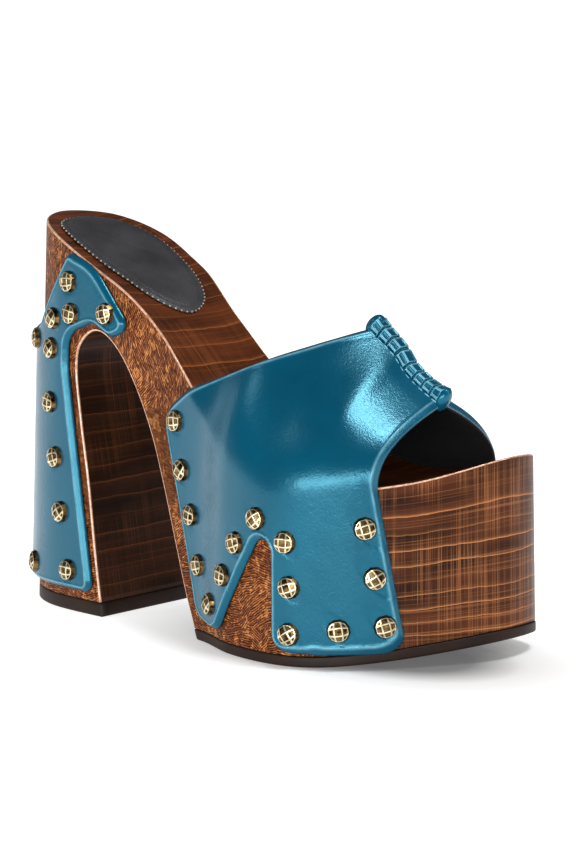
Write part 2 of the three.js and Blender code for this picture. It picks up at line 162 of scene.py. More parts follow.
# The cut edges from the side: corners, their rounding in corner radii, and the inner side's shift
VAMP_EDGE = table(
    "along height round inner",
    (0.414, 0.710, 1.2, 0.000), (0.520, 0.076, 5.5, 0.000), (0.589, 0.064, 2.4, 0.000),
    (0.726, 0.485, 1.4, 0.000), (0.733, 0.050, 2.1, 0.000), (0.921, 0.059, 1.8, -0.020),
    (0.883, 0.563, 4.5, -0.028), (0.890, 0.798, 0.0, 0.000), (0.917, 0.908, 0.0, 0.000),
    (0.804, 1.176, 0.0, 0.000), (0.767, 1.018, 0.0, 0.000), (0.486, 0.801, 9.0, 0.000))
WRAP_EDGE = table(
    "along height round inner",
    (-0.058, 0.062, 0.0, 0.000), (-0.058, 0.712, 0.0, 0.000), (0.072, 0.712, 2.4, 0.000),
    (0.169, 0.913, 1.0, 0.000), (0.238, 0.882, 4.2, -0.030), (0.321, 0.741, 1.3, 0.000),
    (0.280, 0.715, 1.5, 0.000), (0.235, 0.748, 2.4, 0.000), (0.165, 0.712, 2.7, 0.000),
    (0.165, 0.624, 9.0, 0.000), (0.240, 0.062, 1.1, 0.000))

VAMP_STUDS = table(
    "along height",
    (0.451, 0.689), (0.470, 0.537), (0.499, 0.402), (0.525, 0.250), (0.569, 0.143),
    (0.614, 0.251), (0.648, 0.362), (0.698, 0.450), (0.758, 0.389), (0.767, 0.252),
    (0.768, 0.107), (0.845, 0.127), (0.899, 0.138), (0.886, 0.287), (0.873, 0.440))
HEEL_STUDS = table(
    "along height",
    (0.175, 0.842), (0.130, 0.744), (0.182, 0.762), (0.272, 0.773), (0.124, 0.667),
    (0.123, 0.529), (0.142, 0.391), (0.160, 0.254), (0.183, 0.109), (0.058, 0.681),
    (0.065, 0.103))

PAD_OUTLINE = table(
    "along across",
    (0.095, -0.164), (0.137, -0.217), (0.243, -0.247), (0.334, -0.209), (0.370, -0.103),
    (0.351, 0.035), (0.280, 0.137), (0.170, 0.192), (0.104, 0.123), (0.078, -0.016))

# How deep the leather's surface lies below its face at each distance in from a cut edge
LEATHER_RIM = table(
    "inset depth",
    (0.00, 2.00), (0.12, 1.62), (0.50, 1.10), (0.95, 0.64), (1.32, 0.28), (1.60, 0.02),
    (1.85, -0.14), (2.10, -0.16), (2.40, -0.02), (2.75, 0.06), (3.60, 0.00))
PAD_RIM = table(
    "inset depth",
    (0.00, 1.40), (0.15, 0.90), (0.50, 0.45), (0.90, 0.28), (1.30, 0.34), (1.60, 0.62),
    (1.90, 0.62), (2.30, 0.25), (3.60, 0.08), (6.50, 0.00))


def smooth_at(rows, column, along):
    """A table's column at places along the shoe, on a smooth curve through its rows."""
    knots = rows["along"]
    values = rows[column]
    along = np.asarray(along, float)
    index = np.clip(np.searchsorted(knots, along, side="right") - 1, 0, len(knots) - 2)
    before = np.maximum(np.arange(len(knots)) - 1, 0)
    after = np.minimum(np.arange(len(knots)) + 1, len(knots) - 1)
    slopes = (values[after] - values[before]) / (knots[after] - knots[before])
    span = knots[index + 1] - knots[index]
    t = np.clip((along - knots[index]) / span, 0, 1)
    return ((2 * t**3 - 3 * t**2 + 1) * values[index] + (t**3 - 2 * t**2 + t) * span * slopes[index]
            + (3 * t**2 - 2 * t**3) * values[index + 1] + (t**3 - t**2) * span * slopes[index + 1])


def footbed(x):
    """Height of the footbed."""
    along = np.asarray(x, float) / SOLE_LENGTH
    heel = (HEEL_HEIGHT - PLATFORM_HEIGHT) * smooth_at(FOOTBED, "heel", along)
    return PLATFORM_HEIGHT + heel + TOE_RISE * smooth_at(FOOTBED, "toe", along)


def spring(x):
    """How far the sole lifts off the floor towards the toe."""
    past = np.maximum(np.asarray(x, float) / SOLE_LENGTH - TOE_SPRING_START, 0) / (1 - TOE_SPRING_START)
    return TOE_SPRING * past**2


def catmull_rom(points, closed, per_span=60):
    """A centripetal curve through points."""
    points = np.asarray(points, float)
    if closed:
        padded = np.vstack([points[-1:], points, points[:2]])
    else:
        padded = np.vstack([2 * points[0] - points[1], points, 2 * points[-1] - points[-2]])
    t = np.linspace(0, 1, per_span, endpoint=False)[:, None]
    spans = []
    for p0, p1, p2, p3 in zip(padded[:-3], padded[1:-2], padded[2:-1], padded[3:]):
        step0 = np.linalg.norm(p1 - p0) ** 0.5
        step1 = np.linalg.norm(p2 - p1) ** 0.5
        step2 = np.linalg.norm(p3 - p2) ** 0.5
        slope1 = ((p1 - p0) / step0 - (p2 - p0) / (step0 + step1) + (p2 - p1) / step1) * step1
        slope2 = ((p2 - p1) / step1 - (p3 - p1) / (step1 + step2) + (p3 - p2) / step2) * step1
        spans.append(p1 + slope1 * t + (3 * (p2 - p1) - 2 * slope1 - slope2) * t**2
                     + (2 * (p1 - p2) + slope1 + slope2) * t**3)
    last = points[:1] if closed else points[-1:]
    return np.vstack(spans + [last])


def lengths_along(points):
    steps = np.linalg.norm(np.diff(points, axis=0), axis=1)
    return np.concatenate([[0.0], np.cumsum(steps)])


def at_lengths(points, places):
    """Points at given lengths along a polyline."""
    lengths = lengths_along(points)
    return np.column_stack([np.interp(places, lengths, column) for column in points.T])


def evenly(points, count):
    return at_lengths(points, np.linspace(0, lengths_along(points)[-1], count))


# The sole's outline: positions and outward normals at even lengths round it, from the heel's back
# along the outer side
OUTLINE_COUNT = 1600
NORMAL_SPAN = 88
outline_rows = np.column_stack([OUTLINE["along"] * SOLE_LENGTH, OUTLINE["across"] * BALL_WIDTH])
outline_curve = catmull_rom(outline_rows, True)
PERIMETER = lengths_along(outline_curve)[-1]
WALL_S = np.linspace(0, PERIMETER, OUTLINE_COUNT + 1)
WALL_XY = at_lengths(outline_curve, WALL_S)
TOE = int(np.argmax(WALL_XY[:, 0]))


def round_outline(values, s):
    """Values of a table round the outline at lengths s."""
    turn = np.mod(s, PERIMETER)
    return np.stack([np.interp(turn, WALL_S, column) for column in values.T], -1)


def outline_at(s):
    return round_outline(WALL_XY, s)


tangents = outline_at(WALL_S + PERIMETER / NORMAL_SPAN) - outline_at(WALL_S - PERIMETER / NORMAL_SPAN)
WALL_N = np.stack([tangents[:, 1], -tangents[:, 0]], -1)
WALL_N /= np.linalg.norm(WALL_N, axis=1)[:, None]


def outward_at(s):
    return round_outline(WALL_N, s)


def wall(s, z, offset=0.0):
    """Points of the flared wall at lengths s round the outline and heights z."""
    s, z, offset = np.broadcast_arrays(np.asarray(s, float), z, offset)
    moved = outline_at(s) + outward_at(s) * (offset - WALL_FLARE * z)[..., None]
    return np.concatenate([moved, z[..., None]], -1)


def wall_place(x, z, offset, side):
    """Length round the outline, negative on the inner side, where the wall at height z has this x."""
    picked = slice(0, TOE + 1) if side < 0 else slice(OUTLINE_COUNT, TOE - 1, -1)
    x, z = np.broadcast_arrays(np.atleast_1d(np.asarray(x, float)), np.asarray(z, float))
    found = np.empty(len(x))
    for index, (place, height) in enumerate(zip(x, z)):
        ring = WALL_XY[picked, 0] + WALL_N[picked, 0] * (offset - WALL_FLARE * height)
        found[index] = np.interp(place, ring, WALL_S[picked])
    return found if side < 0 else found - PERIMETER


def rim_height(s):
    """Height where the wall meets the footbed."""
    z = np.full(np.shape(s), PLATFORM_HEIGHT)
    for _ in range(8):
        z = footbed(wall(s, z)[..., 0])
    return z


ARCH_HEIGHT = float(footbed(ARCH_TOP_ALONG * SOLE_LENGTH)) - ARCH_ROOF
arch_rows = np.column_stack([ARCH["along"] * SOLE_LENGTH, ARCH["rise"] * ARCH_HEIGHT])
arch_curve = catmull_rom(arch_rows, False)
APEX = int(np.argmax(arch_curve[:, 1]))

# The shoe's own frame set into the CAD frame
toe_low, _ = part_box("outsole")
heel_low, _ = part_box("top_lift")
SHIFT = np.array([heel_low.x / MM - WALL_XY[:, 0].min(), toe_low.y / MM - WALL_XY[:, 1].min(), 0.0])


class Shell:
    """Collects the points and faces of one mesh, in millimetres of the shoe's own frame."""

    def __init__(self):
        self.points = []
        self.grain = []
        self.painted_highlight = []
        self.faces = []
        self.finish = []
        self.count = 0

    def add(self, points, grain=None, painted_highlight=0.0):
        points = np.asarray(points, float).reshape(-1, 3)
        start = self.count
        self.points.append(points)
        self.grain.append(points if grain is None else np.asarray(grain, float).reshape(-1, 3))
        self.painted_highlight.append(np.broadcast_to(np.ravel(painted_highlight), len(points)))
        self.count += len(points)
        return start

    def grid(self, points, finish=0, closed=False, grain=None, painted_highlight=0.0):
        """Quads over rows by columns of points."""
        rows, columns = points.shape[:2]
        index = self.add(points, grain, painted_highlight) + np.arange(rows * columns).reshape(rows, columns)
        if closed:
            index = np.column_stack([index, index[:, 0]])
        quads = np.stack([index[:-1, :-1], index[:-1, 1:], index[1:, 1:], index[1:, :-1]], -1)
        quads = quads.reshape(-1, 4)
        self.faces += quads.tolist()
        self.finish += [finish] * len(quads)

    def patch(self, points, faces, finish=0, grain=None, painted_highlight=0.0):
        start = self.add(points, grain, painted_highlight)
        self.faces += [[start + corner for corner in face] for face in faces]
        self.finish += [finish] * len(faces)

    def build(self, name, materials, nodes=(), merge=0.002, sharp=None):
        """The finished piece, riding on the shoe's one body."""
        mesh = bpy.data.meshes.new(name)
        points = (np.vstack(self.points) + SHIFT) * MM
        mesh.from_pydata(points.tolist(), [], self.faces)
        mesh.polygons.foreach_set("material_index", self.finish)
        mesh.attributes.new("grain", "FLOAT_VECTOR", "POINT")
        mesh.attributes["grain"].data.foreach_set("vector", np.vstack(self.grain).ravel())
        # Each point's share of painted highlight, read by the blue leather's material
        mesh.attributes.new("painted_highlight", "FLOAT", "POINT")
        mesh.attributes["painted_highlight"].data.foreach_set("value", np.concatenate(self.painted_highlight))
        shape = bmesh.new()
        shape.from_mesh(mesh)
        bmesh.ops.remove_doubles(shape, verts=shape.verts, dist=merge * MM)
        open_edges = [edge for edge in shape.edges if edge.is_boundary]
        if open_edges:
            bmesh.ops.holes_fill(shape, edges=open_edges, sides=0)
        bmesh.ops.recalc_face_normals(shape, faces=shape.faces)
        shape.to_mesh(mesh)
        shape.free()
        mesh.shade_smooth()
        if sharp:
            mesh.set_sharp_from_angle(angle=math.radians(sharp))
        for material in materials:
            mesh.materials.append(material)
        piece = bpy.data.objects.new(name, mesh)
        bpy.context.scene.collection.objects.link(piece)
        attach(piece, "root")
        if nodes:
            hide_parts(*nodes)
        return piece


def distances(points, loop):
    """Shortest distance from each point to a closed polyline."""
    start = loop
    step = np.roll(loop, -1, 0) - start
    size = np.maximum((step**2).sum(1), 1e-12)
    nearest = np.empty(len(points))
    for first in range(0, len(points), 2000):
        part = points[first:first + 2000, None, :] - start[None]
        share = np.clip((part * step[None]).sum(2) / size, 0, 1)
        away = part - share[..., None] * step[None]
        nearest[first:first + 2000] = np.sqrt((away**2).sum(2)).min(1)
    return nearest


def inside(points, loop):
    """Which points lie inside a closed polyline."""
    start = loop
    end = np.roll(loop, -1, 0)
    within = np.zeros(len(points), bool)
    for first in range(0, len(points), 2000):
        x = points[first:first + 2000, 0][:, None]
        y = points[first:first + 2000, 1][:, None]
        crosses = (start[:, 1] > y) != (end[:, 1] > y)
        rise = np.where(end[:, 1] == start[:, 1], 1e-9, end[:, 1] - start[:, 1])
        at = start[:, 0] + (y - start[:, 1]) / rise * (end[:, 0] - start[:, 0])
        within[first:first + 2000] = (crosses & (x < at)).sum(1) % 2 == 1
    return within


def counter_clockwise(loop):
    after = np.roll(loop, -1, 0)
    area = (loop[:, 0] * after[:, 1] - after[:, 0] * loop[:, 1]).sum()
    return loop if area > 0 else loop[::-1]


def inset_ring(loop, distance):
    """The loop moved inward, without the stretches where it would fold over."""
    ahead = np.roll(loop, -1, 0) - loop
    behind = loop - np.roll(loop, 1, 0)
    ahead /= np.linalg.norm(ahead, axis=1)[:, None]
    behind /= np.linalg.norm(behind, axis=1)[:, None]
    normal = np.stack([-(ahead + behind)[:, 1], (ahead + behind)[:, 0]], -1)
    length = np.linalg.norm(normal, axis=1)[:, None]
    moved = loop + normal / np.maximum(length, 0.4) * distance * 2 / np.maximum(length, 0.8)
    keep = distances(moved, loop) > 0.96 * distance
    return moved[keep & inside(moved, loop)]


def filled(loop, insets, spacing, extra=()):
    """A triangle mesh inside a closed outline: rings along its edge, extra points and an even grid."""
    loop = counter_clockwise(loop)
    rings = [inset_ring(loop, inset) for inset in insets if inset > 0]
    margin = (max(insets) if len(insets) else 0) + 0.55 * spacing
    low = loop.min(0)
    high = loop.max(0)
    row_step = spacing * math.sqrt(3) / 2
    rows = np.arange(low[1], high[1], row_step)
    columns = np.arange(low[0], high[0], spacing)
    grid = np.stack(np.meshgrid(columns, rows), -1)
    grid[1::2, :, 0] += spacing / 2
    grid = grid.reshape(-1, 2)
    grid = grid[inside(grid, loop)]
    grid = grid[distances(grid, loop) > margin]
    for centre, radius in extra:
        grid = grid[np.linalg.norm(grid - centre, axis=1) > radius + 0.5 * spacing]
    spots = [stud_rings(centre) for centre, _ in extra]
    points = np.vstack([loop] + [ring for ring in rings if len(ring)] + spots + [grid])
    near = np.round(points, 4)
    _, first = np.unique(near, axis=0, return_index=True)
    kept = np.concatenate([np.arange(len(loop)), np.sort(first[first >= len(loop)])])
    points = points[kept]
    outline_face = list(range(len(loop)))
    made = delaunay_2d_cdt([Vector(point) for point in points], [], [outline_face], 1, 1e-5)
    return np.array([tuple(point) for point in made[0]]), [list(face) for face in made[2]], loop


STUD_RINGS = (3.2, 4.1, 4.7, 5.3, 6.2)


def stud_rings(centre):
    """Points round a stud, where the leather dips to its rim."""
    rings = []
    for radius in STUD_RINGS:
        turn = np.arange(28) * 2 * math.pi / 28
        rings.append(centre + radius * np.column_stack([np.cos(turn), np.sin(turn)]))
    return np.vstack(rings)


def dimples(points, studs):
    """Depth of the dip round each stud."""
    depth = np.zeros(len(points))
    for centre in studs:
        away = np.linalg.norm(points - centre, axis=1)
        depth += DIP_DEPTH * np.exp(-((np.maximum(away - DIP_RADIUS, 0) / DIP_SOFTNESS) ** 2))
    return depth


def leather_sheet(name, loop, surface, studs, rim, thickness, spacing, relief, materials, nodes):
    """A sheet with rolled cut edges. surface gives a point at a place and a depth below its face."""
    points, faces, loop = filled(loop, rim["inset"], spacing, [(stud, STUD_RINGS[-1]) for stud in studs])
    edge = distances(points, loop)
    face_depth = np.interp(edge, rim["inset"], rim["depth"]) + dimples(points, studs) - relief(points)
    back_depth = thickness - BACK_ROLL * np.exp(-edge / BACK_ROLL_REACH)
    # Painted highlight: a thin line a little in from the cut edge, which the leather's material paints
    # pale cyan
    highlight_share = 0.5 * np.exp(-(((edge - HIGHLIGHT_LINE) / HIGHLIGHT_WIDTH) ** 2))
    shell = Shell()
    place = np.column_stack([points, np.zeros(len(points))])
    shell.patch(surface(points, face_depth), faces, 0, place, highlight_share)
    shell.patch(surface(points, back_depth), [face[::-1] for face in faces], 1, place)
    index = {tuple(np.round(point, 3)): number for number, point in enumerate(points)}
    ring = [index[tuple(np.round(point, 3))] for point in loop if tuple(np.round(point, 3)) in index]
    after = ring[1:] + ring[:1]
    back = len(points)
    # The cut edge's side strip takes the black lining: partly the lining's own colour, partly a painted
    # dark line standing in for the contact shadow along the edge
    shell.faces += [[a, b, back + b, back + a] for a, b in zip(ring, after)]
    shell.finish += [1] * len(ring)
    return shell.build(name, materials, nodes)


def rounded_corners(points, radii, step=0.9):
    """Straight edges with an arc at each corner, in short even steps."""
    outline = []
    count = len(points)
    for index in range(count):
        corner = points[index]
        back = points[index - 1] - corner
        ahead = points[(index + 1) % count] - corner
        if radii[index] == 0:
            outline.append(corner)
            continue
        back_length = np.linalg.norm(back)
        ahead_length = np.linalg.norm(ahead)
        back = back / back_length
        ahead = ahead / ahead_length
        half = math.acos(np.clip(back @ ahead, -1, 1)) / 2
        reach = min(radii[index] / math.tan(half), min(back_length, ahead_length) / 2)
        radius = reach * math.tan(half)
        start = corner + back * reach
        end = corner + ahead * reach
        inward = (start + end) / 2 - corner
        centre = corner + inward / np.linalg.norm(inward) * radius / math.sin(half)
        first = math.atan2(start[1] - centre[1], start[0] - centre[0])
        sweep = math.atan2(end[1] - centre[1], end[0] - centre[0]) - first
        sweep = (sweep + math.pi) % (2 * math.pi) - math.pi
        steps = max(4, int(radius * abs(sweep) / step))
        for share in np.linspace(0, 1, steps + 1):
            angle = first + sweep * share
            outline.append(centre + radius * np.array([math.cos(angle), math.sin(angle)]))
    closed = np.vstack(outline + outline[:1])
    lengths = lengths_along(closed)
    places = []
    for low, high in zip(lengths[:-1], lengths[1:]):
        parts = max(1, int(round((high - low) / step)))
        places += list(np.linspace(low, high, parts, endpoint=False))
    return at_lengths(closed, np.array(places))


def edge_corners(rows, height, side):
    """The corners of a cut edge seen from the side, in x and z."""
    along = rows["along"] + (rows["inner"] if side > 0 else 0)
    return np.column_stack([along * SOLE_LENGTH, rows["height"] * height])


def edge_outline(rows, height, side):
    return rounded_corners(edge_corners(rows, height, side), rows["round"] * CORNER)


# Sections across the vamp's outer face, each laid out by length from the ridge: outer side negative
SECTION_COUNT = 180
SECTION_STEP = 0.7
SECTION_REACH = 150.0
SECTION_X = np.linspace(0.395 * SOLE_LENGTH, 0.985 * SOLE_LENGTH, SECTION_COUNT)
SECTION_W = np.arange(-SECTION_REACH, SECTION_REACH + SECTION_STEP, SECTION_STEP)
RIDGE_SOFTNESS = 0.9
SECTION_FOOT = -40.0


def section(x, offset):
    """One section of the vamp's face from the outer side over the ridge to the inner side."""
    along = x / SOLE_LENGTH
    top = PLATFORM_HEIGHT + INSTEP * smooth_at(CROWN, "crown", along) + offset
    middle = BALL_WIDTH * smooth_at(CROWN, "ridge", along)
    edge = footbed(x)
    halves = []
    for side, column in ((-1, "outer"), (1, "inner")):
        bend = smooth_at(CROWN, column, along)
        heights = np.array([SECTION_FOOT, float(edge)])
        ends = wall(wall_place(x, heights, offset, side), heights, offset)[:, 1]
        low_z = np.linspace(SECTION_FOOT, float(edge), 60, endpoint=False)
        low_y = np.interp(low_z, heights, ends)
        angle = np.linspace(0, math.pi / 2, 90)
        dome_y = middle + (ends[1] - middle) * np.cos(angle) ** 2
        dome_z = edge + (top - edge) * np.sin(angle) ** (2 * bend)
        low = np.column_stack([low_y, low_z])
        halves.append(np.vstack([low, np.column_stack([dome_y, dome_z])]))
    outer, inner = halves
    line = np.vstack([outer, inner[::-1][1:]])
    lengths = lengths_along(line)
    lengths -= lengths[len(outer) - 1]
    return np.column_stack([np.interp(SECTION_W, lengths, column) for column in line.T])


def softened(values, softness):
    """Gaussian smoothing along the second axis."""
    reach = int(3 * softness / SECTION_STEP) + 1
    weights = np.exp(-((np.arange(-reach, reach + 1) * SECTION_STEP / softness) ** 2) / 2)
    weights /= weights.sum()
    before = values[:, :1].repeat(reach, 1)
    after = values[:, -1:].repeat(reach, 1)
    padded = np.concatenate([before, values, after], 1)
    count = values.shape[1]
    return sum(weight * padded[:, shift:shift + count] for shift, weight in enumerate(weights))


section_yz = softened(np.stack([section(x, SKIN) for x in SECTION_X]), RIDGE_SOFTNESS)
section_x = np.broadcast_to(SECTION_X[:, None, None], section_yz.shape[:2] + (1,))
SECTION_P = np.concatenate([section_x, section_yz], -1)
slope_x = np.gradient(SECTION_P, axis=0)
slope_w = np.gradient(SECTION_P, axis=1)
SECTION_N = np.cross(slope_w, slope_x)
SECTION_N /= np.maximum(np.linalg.norm(SECTION_N, axis=2), 1e-9)[..., None]
if SECTION_N[SECTION_COUNT // 2, len(SECTION_W) // 2, 2] < 0:
    SECTION_N = -SECTION_N


def section_row(x):
    """The place of x between the rows of the section table."""
    return np.clip((x - SECTION_X[0]) / (SECTION_X[1] - SECTION_X[0]), 0, SECTION_COUNT - 1.001)


def section_sample(values, places):
    """Values of the section table at places (x, length from the ridge)."""
    x = section_row(places[:, 0])
    w = np.clip((places[:, 1] - SECTION_W[0]) / SECTION_STEP, 0, len(SECTION_W) - 1.001)
    i = x.astype(int)
    j = w.astype(int)
    fx = (x - i)[:, None]
    fw = (w - j)[:, None]
    return ((1 - fx) * ((1 - fw) * values[i, j] + fw * values[i, j + 1])
            + fx * ((1 - fw) * values[i + 1, j] + fw * values[i + 1, j + 1]))


def vamp_surface(places, depth):
    """Points of the vamp at a depth below its face."""
    inward = section_sample(SECTION_N, places) * np.reshape(depth, (-1, 1))
    return section_sample(SECTION_P, places) - inward


def ridge_height(x):
    return section_sample(SECTION_P, np.column_stack([x, np.zeros(len(x))]))[:, 2]


def vamp_places(x, z, side):
    """Places on the vamp's face with this x and height on one side."""
    middle = len(SECTION_W) // 2
    found = []
    for place, height in zip(x, z):
        at = section_row(place)
        i = int(at)
        column = SECTION_P[i, :, 2] * (1 - at + i) + SECTION_P[i + 1, :, 2] * (at - i)
        if side < 0:
            found.append(np.interp(height, column[:middle + 1], SECTION_W[:middle + 1]))
        else:
            found.append(np.interp(height, column[middle:][::-1], SECTION_W[middle:][::-1]))
    return np.column_stack([x, found])


def vamp_side_edge(side):
    """The vamp's edge on one side, from its collar end on the ridge round to its toe end on the ridge."""
    loop = edge_outline(VAMP_EDGE, VAMP_HEIGHT, side)
    over = loop[:, 1] - ridge_height(loop[:, 0])
    below = over < 0
    start = int(np.argmax(~below & np.roll(below, -1)))
    order = np.roll(np.arange(len(loop)), -start)
    chain = loop[order]
    above = over[order]
    last = int(np.argmax(above[1:] >= 0)) + 1
    ends = []
    for first, second in ((0, 1), (last - 1, last)):
        share = above[first] / (above[first] - above[second])
        ends.append(chain[first] + share * (chain[second] - chain[first]))
    inner = chain[1:last]
    places = vamp_places(inner[:, 0], inner[:, 1], side)
    points = np.vstack([[ends[0][0], 0.0], places, [ends[1][0], 0.0]])
    return points if points[0, 0] < points[-1, 0] else points[::-1]


def vamp_loop():
    outer = vamp_side_edge(-1)
    inner = vamp_side_edge(1)
    return np.vstack([outer, inner[::-1][1:-1]])


def grown(loop, distance):
    """A closed outline moved outward."""
    loop = counter_clockwise(loop)
    way = np.roll(loop, -1, 0) - np.roll(loop, 1, 0)
    way /= np.linalg.norm(way, axis=1)[:, None]
    return loop + distance * np.column_stack([way[:, 1], -way[:, 0]])


EASE_SPAN = 14
EASE_SOFTNESS = 4.5
EASE_FADE = 6.0


def eased(loop, corners, reach=16.0):
    """A closed outline rounded further near some of its corners."""
    shifts = np.arange(-EASE_SPAN, EASE_SPAN + 1)
    weights = np.exp(-((shifts / EASE_SOFTNESS) ** 2) / 2)
    weights /= weights.sum()
    soft = sum(weight * np.roll(loop, -shift, 0) for shift, weight in zip(shifts, weights))
    away = np.min([np.linalg.norm(loop - corner, axis=1) for corner in corners], axis=0)
    return loop + (soft - loop) * np.clip((reach - away) / EASE_FADE, 0, 1)[:, None]


def even_loop(loop, step):
    """A closed outline in nearly even steps."""
    closed = np.vstack([loop, loop[:1]])
    total = lengths_along(closed)[-1]
    return at_lengths(closed, np.linspace(0, total, int(total / step), endpoint=False))


# Soft folds of the vamp: a line over the leather, a width and a height, on both sides of the ridge
FOLDS = table(
    "x1 w1 x2 w2 width height",
    (128.0, 52.0, 150.0, 30.0, 9.0, -0.30), (118.0, 44.0, 138.0, 24.0, 8.0, 0.25),
    (150.0, 62.0, 172.0, 44.0, 8.0, -0.20), (108.0, 70.0, 126.0, 50.0, 8.0, 0.20),
    (184.0, 12.0, 180.0, 38.0, 7.0, 0.70))


def folds(places):
    """Height of the soft folds at places on the vamp."""
    height = np.zeros(len(places))
    for x1, w1, x2, w2, width, size in zip(*FOLDS.values()):
        start = np.array([x1, w1])
        step = np.array([x2, w2]) - start
        spot = np.column_stack([places[:, 0], np.abs(places[:, 1])]) - start
        share = np.clip(spot @ step / (step @ step), 0, 1)
        away = np.linalg.norm(spot - share[:, None] * step, axis=1)
        height += size * np.exp(-((away / width) ** 2))
    return height


def wrap_surface(places, depth):
    """Points of the heel wrap at a depth below its face: places are (length round, height)."""
    return wall(places[:, 0], places[:, 1], SKIN - np.asarray(depth))


def wrap_loop():
    """The heel wrap's edge, in length round the outline and height."""
    chains = []
    for side in (-1, 1):
        loop = edge_outline(WRAP_EDGE, HEEL_HEIGHT, side)
        past_back = loop[:, 0] > 1.0
        start = int(np.argmax(past_back & ~np.roll(past_back, 1)))
        order = np.roll(np.arange(len(loop)), -start)
        chain = loop[order][past_back[order]]
        s = wall_place(chain[:, 0], chain[:, 1], SKIN, side)
        chains.append(np.column_stack([s, chain[:, 1]]))
    outer, inner = chains
    return np.vstack([outer, inner[::-1]])


def stud_places(studs, height, side):
    """Where studs sit: length round the outline and height."""
    x = studs["along"] * SOLE_LENGTH
    z = studs["height"] * height
    return x, z, wall_place(x, z, SKIN + CLEARANCE, side)


def column_heights(low, high, count):
    """Heights from low to high with a short first and last step."""
    share = np.linspace(0, 1, count - 2)
    low = np.asarray(low, float)[:, None]
    high = np.asarray(high, float)[:, None]
    between = low + HOLD + (high - low - 2 * HOLD) * share
    return np.concatenate([low, between, high], 1)


def bevel(start, corner, end):
    """Rows of points rounding a corner."""
    t = np.linspace(0, 1, BEVEL_STEPS + 1)[:, None, None]
    return (1 - t) ** 2 * start + 2 * t * (1 - t) * corner + t**2 * end


def bevel_grain(s, rows):
    """Wood coordinates of a rounded corner that runs along lengths s."""
    return round_grain(np.repeat(s[None], BEVEL_STEPS + 1, 0), rows[..., 2])


def round_grain(s, z):
    """Wood coordinates on the walls: length from the heel's back on either side, height, and depth
    below a line that rises towards the toe half as much as the rim."""
    turn = np.mod(s, PERIMETER)
    around = np.minimum(turn, PERIMETER - turn)
    x = outline_at(turn)[..., 0]
    past = footbed(np.maximum(x, GRAIN_RISE_START * SOLE_LENGTH))
    lift = 0.5 * np.maximum(past - PLATFORM_HEIGHT, 0)
    return np.stack([around, z, PLATFORM_HEIGHT + lift * z / PLATFORM_HEIGHT - z], -1)


WOOD_SIDE, WOOD_FRONT, WOOD_TOP, WOOD_ARCH, WOOD_RIM = range(5)
FRONT_FROM = 0.8
WALL_ROWS = 34
HEEL_COLUMNS = 121
BEVEL_STEPS = 4


def dish(points):
    """How far the footbed dips below its rim."""
    ring = wall(np.linspace(0, PERIMETER, 200, endpoint=False), HEEL_HEIGHT)[:, :2]
    share = np.clip(distances(points, ring) / DISH_WIDTH, 0, 1)
    return DISH * share**2 * (3 - 2 * share)


def arch_legs():
    """The arch's curve in x and z from the heel's foot to the apex, and on to the platform's foot."""
    lengths = lengths_along(arch_curve)
    heel_foot = np.interp(TOP_LIFT + CLEARANCE, arch_curve[:APEX, 1], lengths[:APEX])
    right = slice(len(arch_curve) - 1, APEX, -1)
    toe_foot = np.interp(OUTSOLE + CLEARANCE, arch_curve[right, 1], lengths[right])
    left = at_lengths(arch_curve, np.linspace(heel_foot, lengths[APEX], 62))
    after = at_lengths(arch_curve, np.linspace(lengths[APEX], toe_foot, 66))
    return left, after


def leg_normals(line):
    tangent = np.gradient(line, axis=0)
    normal = np.column_stack([-tangent[:, 1], tangent[:, 0]])
    return normal / np.linalg.norm(normal, axis=1)[:, None]


